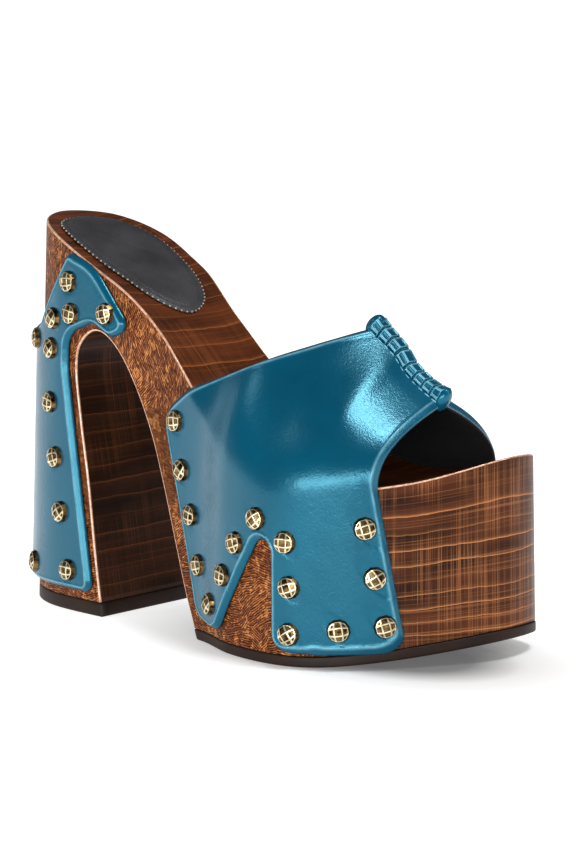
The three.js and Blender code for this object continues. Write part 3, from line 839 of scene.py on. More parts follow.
def carved_wood(materials):
    shell = Shell()
    left, right = arch_legs()
    legs = np.vstack([left, right[1:]])
    pulled = legs + leg_normals(legs) * WOOD_EDGE
    pulled[0, 1] = left[0, 1]
    pulled[-1, 1] = right[-1, 1]
    count_left = len(left)

    # The wall round the platform, from the arch's top on the outer side to its top on the inner side
    places = {}
    for side in (-1, 1):
        places[side] = wall_place(pulled[:, 0], pulled[:, 1], 0, side)
    outer_leg = places[-1][count_left - 1:]
    inner_leg = places[1][count_left - 1:] + PERIMETER
    around = np.linspace(outer_leg[-1], inner_leg[-1], 190)[1:-1]
    base = OUTSOLE + CLEARANCE + spring(outline_at(around)[:, 0])
    s = np.concatenate([outer_leg, around, inner_leg[::-1]])
    low = np.concatenate([pulled[count_left - 1:, 1], base, pulled[count_left - 1:, 1][::-1]])
    heights = column_heights(low, rim_height(s) - WOOD_EDGE, WALL_ROWS)
    stations = np.repeat(s[:, None], WALL_ROWS, 1)
    points = wall(stations, heights)
    grain = round_grain(stations, heights)
    front = points[:, 0, 0] > FRONT_FROM * SOLE_LENGTH
    first = int(np.argmax(front))
    last = len(front) - int(np.argmax(front[::-1]))
    stretches = ((0, first + 1, WOOD_SIDE), (first, last, WOOD_FRONT), (last - 1, len(s), WOOD_SIDE))
    for start, end, finish in stretches:
        shell.grid(points[start:end], finish, grain=grain[start:end])

    # The wall round the heel, between the arch's legs
    cut = {-1: stations[0, 1:], 1: stations[-1, 1:] - PERIMETER}
    cut_z = {-1: heights[0, 1:], 1: heights[-1, 1:]}
    sides = {}
    for side in (-1, 1):
        side_s = np.concatenate([places[side][:count_left], cut[side]])
        side_z = np.concatenate([pulled[:count_left, 1], cut_z[side]])
        sides[side] = np.column_stack([side_s, side_z])
    outer_z = sides[-1][:, 1]
    u = np.linspace(0, 1, HEEL_COLUMNS)[None, :, None]
    t = ((outer_z - outer_z[0]) / (outer_z[-1] - outer_z[0]))[:, None, None]
    bottom_s = np.linspace(sides[-1][0, 0], sides[1][0, 0], HEEL_COLUMNS)
    top_s = np.linspace(sides[-1][-1, 0], sides[1][-1, 0], HEEL_COLUMNS)
    bottom = np.column_stack([bottom_s, np.full(HEEL_COLUMNS, TOP_LIFT + CLEARANCE)])[None]
    top = np.column_stack([top_s, rim_height(top_s) - WOOD_EDGE])[None]
    start = sides[-1][:, None, :]
    end = sides[1][:, None, :]
    corners = ((1 - u) * (1 - t) * start[:1] + u * (1 - t) * end[:1]
               + (1 - u) * t * start[-1:] + u * t * end[-1:])
    heel = (1 - u) * start + u * end + (1 - t) * bottom + t * top - corners
    heel_s = heel[..., 0]
    heel_z = heel[..., 1]
    shell.grid(wall(heel_s, heel_z), WOOD_SIDE, grain=round_grain(heel_s, heel_z))

    # The rounded rim and the footbed
    rim_s = np.concatenate([s, PERIMETER + top_s[::-1][1:-1]])
    rim_z = rim_height(rim_s)
    inner_edge = wall(rim_s, rim_z, -WOOD_EDGE)
    inner_edge[:, 2] = footbed(inner_edge[:, 0])
    rim = bevel(wall(rim_s, rim_z - WOOD_EDGE), wall(rim_s, rim_z), inner_edge)
    shell.grid(rim, WOOD_RIM, closed=True, grain=bevel_grain(rim_s, rim))
    points, faces, loop = filled(inner_edge[:, :2], (HOLD, 2.0), 3.0)
    dip = np.where(distances(points, loop) > 0.1, dish(points), 0)
    flat = np.column_stack([points, np.zeros(len(points))])
    shell.patch(np.column_stack([points, footbed(points[:, 0]) - dip]), faces, WOOD_TOP, flat)

    # The arch's edges and its underside
    lengths = lengths_along(legs)
    ends = {}
    for side in (-1, 1):
        corner = wall(wall_place(legs[:, 0], legs[:, 1], 0, side), legs[:, 1])
        face = wall(places[side], pulled[:, 1])
        below = corner - np.array([0, side * WOOD_EDGE, 0])
        edge = bevel(face, corner, below)
        shell.grid(edge, WOOD_RIM, grain=bevel_grain(places[side], edge))
        ends[side] = below
    share = np.concatenate([[0, 0.012], np.linspace(0.04, 0.96, 22), [0.988, 1]])[None, :, None]
    under = (1 - share) * ends[-1][:, None] + share * ends[1][:, None]
    grain = np.stack([np.repeat(lengths[:, None], under.shape[1], 1), under[..., 1], under[..., 2]], -1)
    shell.grid(under, WOOD_ARCH, grain=grain)
    return shell.build("wood_carved", materials, ["wood_body"])


def sole_plate(name, material, node, heel):
    """The outsole or the top lift: the sole's outline up to the arch, with softened rims."""
    thickness = TOP_LIFT if heel else OUTSOLE
    levels = ((0.0, 0.8), (0.12, 0.35), (0.45, 0.05), (0.9, 0.0), (thickness / 2, 0.0),
              (thickness - 0.5, 0.0), (thickness - 0.12, 0.12), (thickness, 0.5))
    leg = slice(0, APEX) if heel else slice(len(arch_curve) - 1, APEX, -1)
    rings = []
    for height, inset in levels:
        x = np.interp(height, arch_curve[leg, 1], arch_curve[leg, 0]) + (-inset if heel else inset)
        outer = wall_place(x, height, -inset, -1)[0]
        inner = wall_place(x, height, -inset, 1)[0]
        s = np.linspace(inner, outer, 150) if heel else np.linspace(outer, inner + PERIMETER, 210)
        edge = wall(s, height, -inset)
        across = np.linspace(edge[-1, 1], edge[0, 1], 14)[1:-1]
        line = np.column_stack([np.full(12, x), across, np.full(12, height)])
        ring = np.vstack([edge, line])
        if not heel:
            ring[:, 2] += spring(ring[:, 0])
        rings.append(ring)
    rings = np.stack(rings)
    shell = Shell()
    shell.grid(rings, closed=True)
    for ring, height in ((rings[0], 0.0), (rings[-1], thickness)):
        points, faces, _ = filled(ring[:, :2], (0.6,), 5.0)
        lift = 0 if heel else spring(points[:, 0])
        shell.patch(np.column_stack([points, height + lift + 0 * points[:, 0]]), faces)
    return shell.build(name, [material], [node])


def blob(centre, ahead, out, sizes, steps=(6, 8)):
    """A small ellipsoid with its length along ahead."""
    ahead = ahead / np.linalg.norm(ahead)
    side = np.cross(out, ahead)
    side /= np.linalg.norm(side)
    out = np.cross(ahead, side)
    tilt = np.linspace(0, math.pi, steps[0] + 1)[:, None]
    turn = np.linspace(0, 2 * math.pi, steps[1], endpoint=False)[None]
    local = np.stack([np.cos(tilt) + 0 * turn, np.sin(tilt) * np.cos(turn),
                      np.sin(tilt) * np.sin(turn)], -1)
    return centre + local * np.array(sizes) @ np.stack([ahead, side, out])


# Stitches: length, gap and width
SEAM_STITCH = (2.6, 0.7, 0.5)
PAD_STITCH = (1.0, 1.5, 0.8)
STITCH_SIDE = 0.8
STITCH_LIFT = 0.05
PAD_STITCH_DEPTH = 1.05


def stitch_row(name, line, out, length, gap, width, material, slot):
    """Short stitches along a line of points with outward directions."""
    total = lengths_along(line)[-1]
    count = max(1, int(total / (length + gap)))
    shell = Shell()
    places = (np.arange(count) + 0.5) * total / count
    spots = at_lengths(line, places)
    ahead = at_lengths(line, places + 0.4) - at_lengths(line, places - 0.4)
    normals = np.column_stack([np.interp(places, lengths_along(line), column) for column in out.T])
    for spot, direction, normal in zip(spots, ahead, normals):
        shell.grid(blob(spot, direction, normal, (length / 2, width / 2, width / 2)), closed=True)
    return shell.build(name, [material])


ACROSS = np.array([0, 1, 0])


def ridge_point(share):
    """The seam's line on the ridge, at shares of its length."""
    along = SEAM_START + (SEAM_END - SEAM_START) * np.asarray(share, float)
    top = PLATFORM_HEIGHT + INSTEP * smooth_at(CROWN, "crown", along) + SKIN
    return np.stack([along * SOLE_LENGTH, BALL_WIDTH * smooth_at(CROWN, "ridge", along), top], -1)


def seam_axes(share):
    """A place on the seam's line, its directions ahead and up, and the seam's width and height there."""
    ahead = ridge_point(share + 0.01) - ridge_point(share - 0.01)
    ahead /= np.linalg.norm(ahead)
    swell = abs(2 * share - 1) ** 3
    sizes = (SEAM_WIDTH + SEAM_END_SPREAD * swell, SEAM_HEIGHT + SEAM_END_RISE * swell)
    return ridge_point(share), ahead, np.array([-ahead[2], 0, ahead[0]]), sizes


def seam_ring(centre, up, line):
    """A section's points, laid across the seam and up from a place on it."""
    return centre + np.outer(line[:, 0], ACROSS) + np.outer(line[:, 1], up)


def at_angle(values, turn, degrees):
    """The one of the values round a section that lies nearest to an angle."""
    return values[int(np.argmin(np.abs(turn - math.radians(degrees))))]


def lashing(material):
    """Eight lashing blocks over the ridge, each face of a block a sunk panel in a raised frame, with
    small beads in the gaps and a round knob at each end."""
    shell = Shell()
    turn = np.linspace(0, 2 * math.pi, 120, endpoint=False)
    box = 4.0
    round_section = (np.abs(np.cos(turn)) ** box + np.abs(np.sin(turn)) ** box) ** (-1 / box)
    section_line = np.column_stack([np.cos(turn), np.sin(turn)]) * round_section[:, None]
    scaled = section_line * (SEAM_WIDTH / 2, SEAM_HEIGHT)
    edges = [at_angle(scaled, turn, angle) for angle in (47, 133, 2, 178)]
    from_line = np.min([np.linalg.norm(scaled - edge, axis=1) for edge in edges], axis=0)
    first_steps = np.array([0, 0.02, 0.05, 0.09, 0.14])
    steps = np.concatenate([first_steps, np.linspace(0.19, 0.81, 12), 1 - first_steps[::-1]])
    pitch = lengths_along(ridge_point(np.linspace(0, 1, 40)))[-1] / SEAM_BLOCKS
    for block in range(SEAM_BLOCKS):
        rings = []
        painted_highlight = []
        for step in steps:
            share = (block + BLOCK_START + BLOCK_LENGTH * step) / SEAM_BLOCKS
            centre, _, up, (width, height) = seam_axes(share)
            from_end = min(step, 1 - step) * BLOCK_LENGTH * pitch
            from_edge = np.minimum(from_end, from_line)
            sink = np.interp(from_edge, (0, 0.14, 0.36, 0.7), (0.12, 0.0, 0.0, 0.75))
            close = np.interp(from_end, (0, 0.1, 0.3), (0.8, 0.25, 0.0))
            line = section_line * (1 - (sink + close) / SEAM_RADIUS)[:, None] * (width / 2, height)
            rings.append(seam_ring(centre, up, line))
            # Painted highlight on the raised frames, full on their tops and fading out where a panel
            # sinks below them
            painted_highlight.append(np.clip(1 - (sink + close) / FRAME_HIGHLIGHT_DEPTH, 0, 1))
        shell.grid(np.stack(rings), closed=True, painted_highlight=painted_highlight)
    for block in range(1, SEAM_BLOCKS):
        centre, ahead, up, (width, height) = seam_axes(block / SEAM_BLOCKS)
        for angle in range(0, 190, 20):
            x, y = at_angle(section_line, turn, angle)
            out = math.cos(math.radians(angle)) * ACROSS + math.sin(math.radians(angle)) * up
            spot = centre + SEAM_CORE * (x * width / 2 * ACROSS + y * height * up)
            shell.grid(blob(spot, np.cross(ahead, out), out, BEAD, (5, 6)), closed=True)
    rings = []
    for share in np.linspace(0.0, 1.0, 30):
        centre, _, up, (width, height) = seam_axes(share)
        rings.append(seam_ring(centre, up, section_line * SEAM_CORE * (width / 2, height)))
    shell.grid(np.stack(rings), closed=True)
    for share, length in KNOBS:
        centre, ahead, up, (width, height) = seam_axes(share)
        sizes = (length, width / 2, height + KNOB_RISE)
        shell.grid(blob(centre - KNOB_DROP * up, ahead, up, sizes, (18, 28)), closed=True)
    return shell.build("seam_lashing", [material], ["centre_seam"])


def seam_stitches(material):
    """A row of stitches along each side of the seam."""
    x = ridge_point(np.linspace(0.0, 1.0, 40))[:, 0]
    for name, side in (("seam_stitches_outer", -1), ("seam_stitches_inner", 1)):
        places = np.column_stack([x, np.full(len(x), side * (SEAM_WIDTH / 2 + STITCH_SIDE))])
        line = vamp_surface(places, np.full(len(x), -STITCH_LIFT))
        out = section_sample(SECTION_N, places)
        stitch_row(name, line, out, *SEAM_STITCH, material, "blue_leather")


# A stud's dome is cut into three by three facets above a steep dark band at its rim
STUD_CUTS = ((-1.0, -0.42, 0.42, 1.0), (-1.0, -0.56, 0.26, 1.0))
STUD_CROWN = 0.84
FRAME_WIDTH = 0.26
FACET_DEPTH = 0.16
FACET_FLOOR = 0.88


def stud_point(x, y):
    """A point of the dome above a place in a square, the square's edge being the dome's lower rim."""
    place = np.array([x * math.sqrt(1 - y * y / 2), y * math.sqrt(1 - x * x / 2)]) * STUD_CROWN
    height = math.sqrt(max(0.0, 1 - (place @ place) * 0.88))
    return np.append(place * STUD_WIDTH / 2, height * STUD_HEIGHT)


def stud_facets(cuts):
    """The facets of one stud, as corners in order round it."""
    facets = []
    for low_x, high_x in zip(cuts[:-1], cuts[1:]):
        for low_y, high_y in zip(cuts[:-1], cuts[1:]):
            corners = ((low_x, low_y), (high_x, low_y), (high_x, high_y), (low_x, high_y))
            facets.append([stud_point(x, y) for x, y in corners])
    rim = ([(x, -1.0) for x in cuts[:-1]] + [(1.0, y) for y in cuts[:-1]]
           + [(x, 1.0) for x in cuts[:0:-1]] + [(-1.0, y) for y in cuts[:0:-1]])
    upper = [stud_point(x, y) for x, y in rim]
    lower = [np.append(point[:2] / STUD_CROWN, 0.0) for point in upper]
    band = []
    for side in range(len(rim)):
        after = (side + 1) % len(rim)
        band.append([lower[side], lower[after], upper[after], upper[side]])
    return facets, band


def framed(corners):
    """A facet sunk inside raised edges: points, the frame's faces and the sunk faces."""
    count = len(corners)
    centre = corners.mean(0)
    normal = sum(np.cross(corners[i] - centre, corners[(i + 1) % count] - centre) for i in range(count))
    normal /= np.linalg.norm(normal)
    flat = np.column_stack([(corners - centre) @ axis for axis in facet_axes(normal)])
    apothem = distances(np.zeros((1, 2)), flat)[0]
    share = 1 - min(FRAME_WIDTH / apothem, 0.6)
    inset = centre + (corners - centre) * share
    sunk = centre + (corners - centre) * share * FACET_FLOOR - normal * FACET_DEPTH
    points = np.vstack([corners, inset, sunk])
    turn = [(i, (i + 1) % count) for i in range(count)]
    frame_faces = [[i, j, count + j, count + i] for i, j in turn]
    slopes = [[count + i, count + j, 2 * count + j, 2 * count + i] for i, j in turn]
    return points, frame_faces, slopes + [[2 * count + i for i in range(count)]]


def facet_axes(normal):
    first = np.cross(normal, [0.3, 0.5, 0.8])
    first /= np.linalg.norm(first)
    return first, np.cross(normal, first)


def studs(name, rows, height, side, nodes, materials):
    """Studs on one side of one leather piece, as one mesh."""
    shell = Shell()
    shapes = [stud_facets(cuts) for cuts in STUD_CUTS]
    _, z, s = stud_places(rows, height, side)
    for index, (seat, flat) in enumerate(zip(wall(s, z, SKIN - STUD_SEAT), outward_at(s))):
        out = np.array([flat[0], flat[1], WALL_FLARE])
        out /= np.linalg.norm(out)
        first = np.cross([0, 0, 1], out)
        first /= np.linalg.norm(first)
        second = np.cross(out, first)
        other_cut = index % 3 == 1
        angle = STUD_SWING * math.sin(index * 2.3) + STUD_TURNS[other_cut]
        across = math.cos(angle) * first + math.sin(angle) * second
        facets, band = shapes[other_cut]
        turned = np.stack([across, np.cross(out, across), out])
        for corners in band:
            shell.patch(np.array(corners) @ turned + seat, [[0, 1, 2, 3]], 1)
        for corners in facets:
            points, edges, sunk = framed(np.array(corners) @ turned + seat)
            start = shell.add(points)
            shell.faces += [[start + corner for corner in face] for face in edges + sunk]
            shell.finish += [0] * len(edges) + [1] * len(sunk)
    return shell.build(name, materials, nodes, merge=0.01, sharp=15)


class Look:
    """A material with a Principled shader, and short ways to add nodes to it."""

    def __init__(self, name, **values):
        self.material = bpy.data.materials.new(name)
        self.material.use_nodes = True
        self.tree = self.material.node_tree
        self.shader = self.tree.nodes["Principled BSDF"]
        for socket, value in values.items():
            self.shader.inputs[socket.replace("_", " ")].default_value = value

    def node(self, kind, inputs=(), **settings):
        made = self.tree.nodes.new("ShaderNode" + kind)
        for setting, value in settings.items():
            setattr(made, setting, value)
        for socket, value in dict(inputs).items():
            target = made.inputs[socket]
            if isinstance(value, bpy.types.NodeSocket):
                self.tree.links.new(value, target)
            else:
                target.default_value = value
        return made

    def math(self, operation, *values):
        return self.node("Math", dict(enumerate(values)), operation=operation).outputs[0]

    def times(self, first, second):
        return self.math("MULTIPLY", first, second)

    def plus(self, first, second):
        return self.math("ADD", first, second)

    def swing(self, value, size, middle=0.5):
        """A value made to swing round zero."""
        return self.times(self.math("SUBTRACT", value, middle), size)

    def vector_math(self, operation, inputs, output="Vector"):
        return self.node("VectorMath", inputs, operation=operation).outputs[output]

    def ramp(self, value, *stops):
        """Stops of a place and a colour, or a place and one number for a grey."""
        made = self.node("ValToRGB", {0: value})
        elements = made.color_ramp.elements
        while len(elements) < len(stops):
            elements.new(0.5)
        for element, (place, colour) in zip(elements, stops):
            element.position = place
            element.color = (*np.broadcast_to(colour, 3).tolist(), 1)
        return made.outputs[0]

    def mix(self, share, first, colour):
        return self.node("Mix", {0: share, 6: first, 7: (*colour, 1)}, data_type="RGBA").outputs[2]

    def noise(self, vector, scale, detail=2.0, roughness=0.5, distortion=0.0):
        return self.node("TexNoise", {"Vector": vector, "Scale": scale, "Detail": detail,
                                      "Roughness": roughness, "Distortion": distortion}).outputs[0]

    def cells(self, vector, scale):
        return self.node("TexVoronoi", {"Vector": vector, "Scale": scale}, feature="F1")

    def mapped(self, vector, scale, location=(0, 0, 0)):
        inputs = {"Vector": vector, "Scale": scale, "Location": location}
        return self.node("Mapping", inputs).outputs[0]

    def attribute(self, name, output):
        return self.node("Attribute", attribute_name=name).outputs[output]

    def object_place(self):
        return self.node("TexCoord").outputs["Object"]

    def link(self, value, socket):
        self.tree.links.new(value, self.shader.inputs[socket])

    def bump(self, height, distance, strength=1.0, onto=None):
        inputs = {"Height": height, "Distance": distance, "Strength": strength}
        if onto is not None:
            inputs["Normal"] = onto
        return self.node("Bump", inputs).outputs[0]

    def grain(self, scale=(1, 1, 1)):
        """The mesh's own coordinates in millimetres."""
        return self.mapped(self.attribute("grain", "Vector"), scale)

    def streaks(self, axis, along, across):
        """The mesh's own coordinates with one scale along one of them and another along the rest."""
        scale = [across] * 3
        scale[axis] = along
        return self.grain(tuple(scale))


def srgb(red, green, blue):
    """A colour from its values out of 255."""
    return tuple((v / 12.92 if v <= 0.04045 else ((v + 0.055) / 1.055) ** 2.4)
                 for v in (red / 255, green / 255, blue / 255))


def blue_leather():
    look = Look("leather_blue", Roughness=0.25, Specular_IOR_Level=0.85,
                Specular_Tint=(0.24, 0.78, 0.98, 1))
    place = look.object_place()
    colour = look.ramp(look.noise(place, 28, 3), (0.3, srgb(0, 60, 82)), (0.7, srgb(0, 72, 97)))
    # Painted highlight: where a point's painted highlight share is set, along cut edges and on the seam's
    # raised frames, the colour turns pale cyan in noisy patches
    patches = look.ramp(look.noise(place, 200, 2), (0.3, 0.45), (0.6, 0.8))
    highlight_share = look.times(look.attribute("painted_highlight", "Fac"), patches)
    look.link(look.mix(highlight_share, colour, srgb(146, 214, 234)), "Base Color")
    wrinkles = look.bump(look.noise(place, 620, 3, 0.6, 0.8), 0.00022, 0.3)
    look.link(look.bump(look.cells(place, 1300).outputs[0], 0.00010, 0.2, wrinkles), "Normal")
    look.link(look.ramp(look.noise(place, 90, 2), (0.3, 0.2), (0.7, 0.27)), "Roughness")
    return look.material


def carved_figure():
    """The rippled figure of the wood's sides: short bright and dark strokes whose direction changes."""
    look = Look("wood_rippled", Roughness=0.5, Specular_IOR_Level=0.14)
    flat = look.grain((1, 1, 0))
    warp = look.node("TexNoise", {"Vector": flat, "Scale": 0.25, "Detail": 2.0}).outputs["Color"]
    shift = look.vector_math("SUBTRACT", {0: warp, 1: (0.5, 0.5, 0.5)})
    shift = look.vector_math("SCALE", {0: shift, "Scale": 5.0})
    bent = look.vector_math("ADD", {0: flat, 1: shift})
    cells = look.cells(look.mapped(bent, (0.16, 0.08, 0)), 1.0)
    cell = look.node("SeparateColor", {0: cells.outputs["Color"]})
    level = look.node("SeparateXYZ", {0: look.grain()}).outputs[1]
    lying = look.node("MapRange", {"Value": level, "From Min": 45.0, "From Max": 85.0,
                                   "To Min": 1.35, "To Max": 0.1})
    angle = look.swing(cell.outputs[0], 1.5, 0.45)
    angle = look.plus(angle, lying.outputs[0])
    rotation = look.node("VectorRotate", {"Vector": flat, "Angle": angle}, rotation_type="Z_AXIS")
    turned = rotation.outputs[0]
    waves = look.node("TexWave", {"Vector": turned, "Scale": 0.36, "Distortion": 5.0, "Detail": 2.0,
                                  "Detail Scale": 1.1, "Detail Roughness": 0.6}, bands_direction="X")
    ripples = look.times(waves.outputs["Fac"], 0.26)
    strokes = look.noise(look.mapped(turned, (1.2, 0.35, 1)), 1.0, 2, 0.5, 0.5)
    strokes = look.plus(ripples, look.times(strokes, 0.74))
    flakes = look.noise(look.mapped(bent, (0.50, 0.12, 1)), 1.0, 1)
    flakes = look.ramp(flakes, (0.56, 0.0), (0.66, 0.2))
    cloud = look.swing(look.noise(flat, 0.06, 2), 0.22)
    tone = look.plus(look.plus(strokes, flakes), cloud)
    colour = look.ramp(tone, (0.34, srgb(40, 15, 4)), (0.46, srgb(88, 40, 15)), (0.60, srgb(124, 66, 28)),
                       (0.78, srgb(196, 130, 72)))
    look.link(colour, "Base Color")
    look.link(look.bump(strokes, 0.0008, 0.9), "Normal")
    look.link(look.ramp(tone, (0.3, 0.6), (0.7, 0.36)), "Roughness")
    return look.material


def banded_figure(name, band_axis, line_axis, power, pitch, dark, light, line, patchy, gloss):
    """Growth bands along one of the wood's coordinates with fine lines along another."""
    look = Look(name, Roughness=0.32, Specular_IOR_Level=gloss)
    place = look.grain()
    parts = look.node("SeparateXYZ", {0: place})
    sway = look.swing(look.noise(place, 0.03, 1), 2.6)
    wobble = look.swing(look.noise(place, 0.25, 2), 0.7)
    depth = look.plus(look.plus(parts.outputs[band_axis], sway), wobble)
    phase = look.times(look.math("POWER", look.math("MAXIMUM", depth, 0.01), power), 1 / pitch)
    saw = look.math("FRACT", phase)
    cell = look.math("FLOOR", phase)
    strength = look.node("TexWhiteNoise", {"W": cell}, noise_dimensions="1D").outputs["Value"]
    strength = look.math("MULTIPLY_ADD", strength, 0.8, 0.25)
    glow = look.times(look.math("POWER", saw, 6.0), strength)
    ring = look.times(look.math("POWER", saw, 26.0), strength)
    upright = look.noise(look.streaks(line_axis, 1.5, 0.006), 1.0, 3, 0.7)
    patch = look.ramp(look.noise(place, 0.03, 2), (patchy, 0.08), (patchy + 0.22, 1.0))
    upright = look.times(look.ramp(upright, (0.50, 0.0), (0.62, 1.0)), patch)
    threads = look.noise(look.streaks(band_axis, 1.2, 0.005), 1.0, 3, 0.7)
    threads = look.ramp(threads, (0.54, 0.0), (0.66, 1.0))
    cloud = look.noise(look.streaks(band_axis, 1.6, 0.25), 0.09, 3)
    base = look.ramp(cloud, (0.32, srgb(*dark)), (0.70, srgb(*light)))
    bright = [min(255, value * 1.3) for value in line]
    for lines, share, tone in ((glow, 0.22, line), (upright, 0.42, line), (threads, 0.26, line),
                               (ring, 0.75, bright)):
        base = look.mix(look.times(lines, share), base, srgb(*tone))
    look.link(base, "Base Color")
    height = look.plus(look.times(glow, 0.5), look.times(upright, 0.5))
    look.link(look.bump(height, 0.0002, 0.35), "Normal")
    return look.material


def edge_highlight_figure():
    """The polished edges of the wood, coloured far paler than the wood as a painted highlight along them.
    """
    look = Look("wood_edge_highlight", Roughness=0.14, Specular_IOR_Level=0.8)
    tone = look.noise(look.grain(), 0.5, 3)
    look.link(look.ramp(tone, (0.3, srgb(166, 114, 86)), (0.7, srgb(222, 180, 152))), "Base Color")
    return look.material


def mottled(name, cloud, low, high, relief, depth, strength, **values):
    """A material with one noise between two stops for its colour and another for its relief. A relief
    of one number is the scale of pores."""
    look = Look(name, **values)
    place = look.object_place()
    colours = [(stop, srgb(*colour)) for stop, colour in (low, high)]
    look.link(look.ramp(look.noise(place, *cloud), *colours), "Base Color")
    height = look.cells(place, *relief).outputs[0] if len(relief) == 1 else look.noise(place, *relief)
    look.link(look.bump(height, depth, strength), "Normal")
    return look.material


def thread_look(name, dark, light):
    return mottled(name, (2600, 2), (0.35, dark), (0.65, light), (2600, 2), 0.0002, 0.6, Roughness=0.7)


def brass_look(name, dark, light, roughness):
    return mottled(name, (420, 3, 0.6), (0.35, dark), (0.65, light), (900, 3), 0.0002, 0.35,
                   Roughness=roughness, Metallic=1.0)


blue = blue_leather()
black = mottled("lining_black", (900, 2), (0.3, (6, 6, 8)), (0.8, (16, 16, 20)), (1500, 2), 0.0002, 0.5,
                Roughness=0.8)
wood_looks = [
    carved_figure(),
    banded_figure("wood_front", 2, 0, 1.25, 15.0, (38, 18, 9), (82, 43, 24), (186, 122, 76), 0.36, 0.08),
    banded_figure("wood_footbed", 0, 1, 1.0, 6.2, (50, 22, 8), (98, 48, 22), (146, 82, 40), 0.42, 0.14),
    banded_figure("wood_underside", 0, 1, 1.0, 6.6, (26, 13, 7), (46, 25, 13), (96, 52, 24), 0.40, 0.06),
    edge_highlight_figure()]
rubber = mottled("rubber_brown", (60, 3), (0.3, (24, 14, 9)), (0.7, (44, 27, 18)), (1200, 2), 0.0001, 0.4,
                 Roughness=0.5, Specular_IOR_Level=0.2)
charcoal = mottled("pad_charcoal", (50, 3), (0.3, (38, 38, 40)), (0.7, (64, 63, 66)), (1100,), 0.00025,
                   0.6, Roughness=0.48, Specular_IOR_Level=0.35)
blue_thread = thread_look("thread_blue", (78, 148, 178), (140, 198, 220))
grey_thread = thread_look("thread_grey", (118, 112, 104), (176, 170, 160))
# The studs' raised facet frames are pale brass: partly metal rubbed bright, partly a painted highlight
# along the edges
pale_brass = brass_look("brass_edges", (196, 178, 136), (244, 232, 200), 0.32)
dark_brass = brass_look("brass_patina", (26, 17, 8), (132, 108, 70), 0.3)

carved_wood(wood_looks)
sole_plate("outsole_moulded", rubber, "outsole", False)
sole_plate("top_lift_moulded", rubber, "top_lift", True)

def no_relief(places):
    return np.zeros(len(places))


vamp_studs = []
vamp_corners = []
wrap_studs = []
wrap_corners = []
for side in (-1, 1):
    stud_x, stud_z, _ = stud_places(VAMP_STUDS, VAMP_HEIGHT, side)
    vamp_studs += list(vamp_places(stud_x, stud_z, side))
    collar = edge_corners(VAMP_EDGE, VAMP_HEIGHT, side)[[0, -1]]
    vamp_corners += list(vamp_places(collar[:, 0], collar[:, 1], side))
    _, stud_z, stud_s = stud_places(HEEL_STUDS, HEEL_HEIGHT, side)
    wrap_studs += list(np.column_stack([stud_s, stud_z]))
    tip_x, tip_z = edge_corners(WRAP_EDGE, HEEL_HEIGHT, side)[4]
    wrap_corners.append([wall_place(tip_x, tip_z, SKIN, side)[0], tip_z])

vamp_edge = eased(grown(even_loop(vamp_loop(), EDGE_STEP), EDGE_GROWTH), vamp_corners)
leather_sheet("vamp_leather", vamp_edge, vamp_surface, vamp_studs, LEATHER_RIM, LEATHER, VAMP_GRID,
              folds, [blue, black], ["upper"])
wrap_edge = eased(grown(even_loop(wrap_loop(), EDGE_STEP), EDGE_GROWTH), np.array(wrap_corners), 14.0)
leather_sheet("heel_wrap_leather", wrap_edge, wrap_surface, wrap_studs, LEATHER_RIM, LEATHER, WRAP_GRID,
              no_relief, [blue, black], ["heel_wrap"])

lashing(blue)
seam_stitches(blue_thread)


def pad_surface(places, depth):
    height = footbed(places[:, 0]) - dish(places) + CLEARANCE + PAD
    return np.column_stack([places, height - depth])


pad_rows = np.column_stack([PAD_OUTLINE["along"] * SOLE_LENGTH, PAD_OUTLINE["across"] * BALL_WIDTH])
pad_rows += PAD_SHIFT
pad_edge = grown(evenly(catmull_rom(pad_rows, True), 190)[:-1], PAD_GROWTH)
pad = leather_sheet("pad_sewn", pad_edge, pad_surface, [], PAD_RIM, PAD, PAD_GRID, no_relief,
                    [charcoal, charcoal], ["insole_pad"])
pad_line = grown(pad_edge, 0.15)
pad_line = np.vstack([pad_line, pad_line[:1]])
stitch_row("pad_stitches", pad_surface(pad_line, np.full(len(pad_line), PAD_STITCH_DEPTH)),
           np.tile([0.0, 0.0, 1.0], (len(pad_line), 1)), *PAD_STITCH, grey_thread, "pad_leather")

for prefix, rows, height in (("vamp", VAMP_STUDS, VAMP_HEIGHT), ("heel", HEEL_STUDS, HEEL_HEIGHT)):
    for side_name, side in (("outer", -1), ("inner", 1)):
        group = f"{prefix}_{side_name}"
        nodes = [f"stud_{group}_{number + 1:02d}" for number in range(len(rows["along"]))]
        studs(f"studs_{group}", rows, height, side, nodes, [pale_brass, dark_brass])

# Floor, light and camera
CAMERA_AZIMUTH = math.radians(41.19)
CAMERA_ELEVATION = math.radians(8.96)
CAMERA_ROLL = math.radians(0.22)
CAMERA_DISTANCE = 1250.0
CAMERA_LENS = 137.48
TARGET = np.array([124.73, 0.0, 76.33])
WORLD_LIGHT = 0.12
FLOOR = 30.0
floor_mesh = bpy.data.meshes.new("floor")
floor_corners = [(-FLOOR, -FLOOR, 0), (FLOOR, -FLOOR, 0), (FLOOR, FLOOR, 0), (-FLOOR, FLOOR, 0)]
floor_mesh.from_pydata(floor_corners, [], [(0, 1, 2, 3)])
floor = bpy.data.objects.new("floor", floor_mesh)
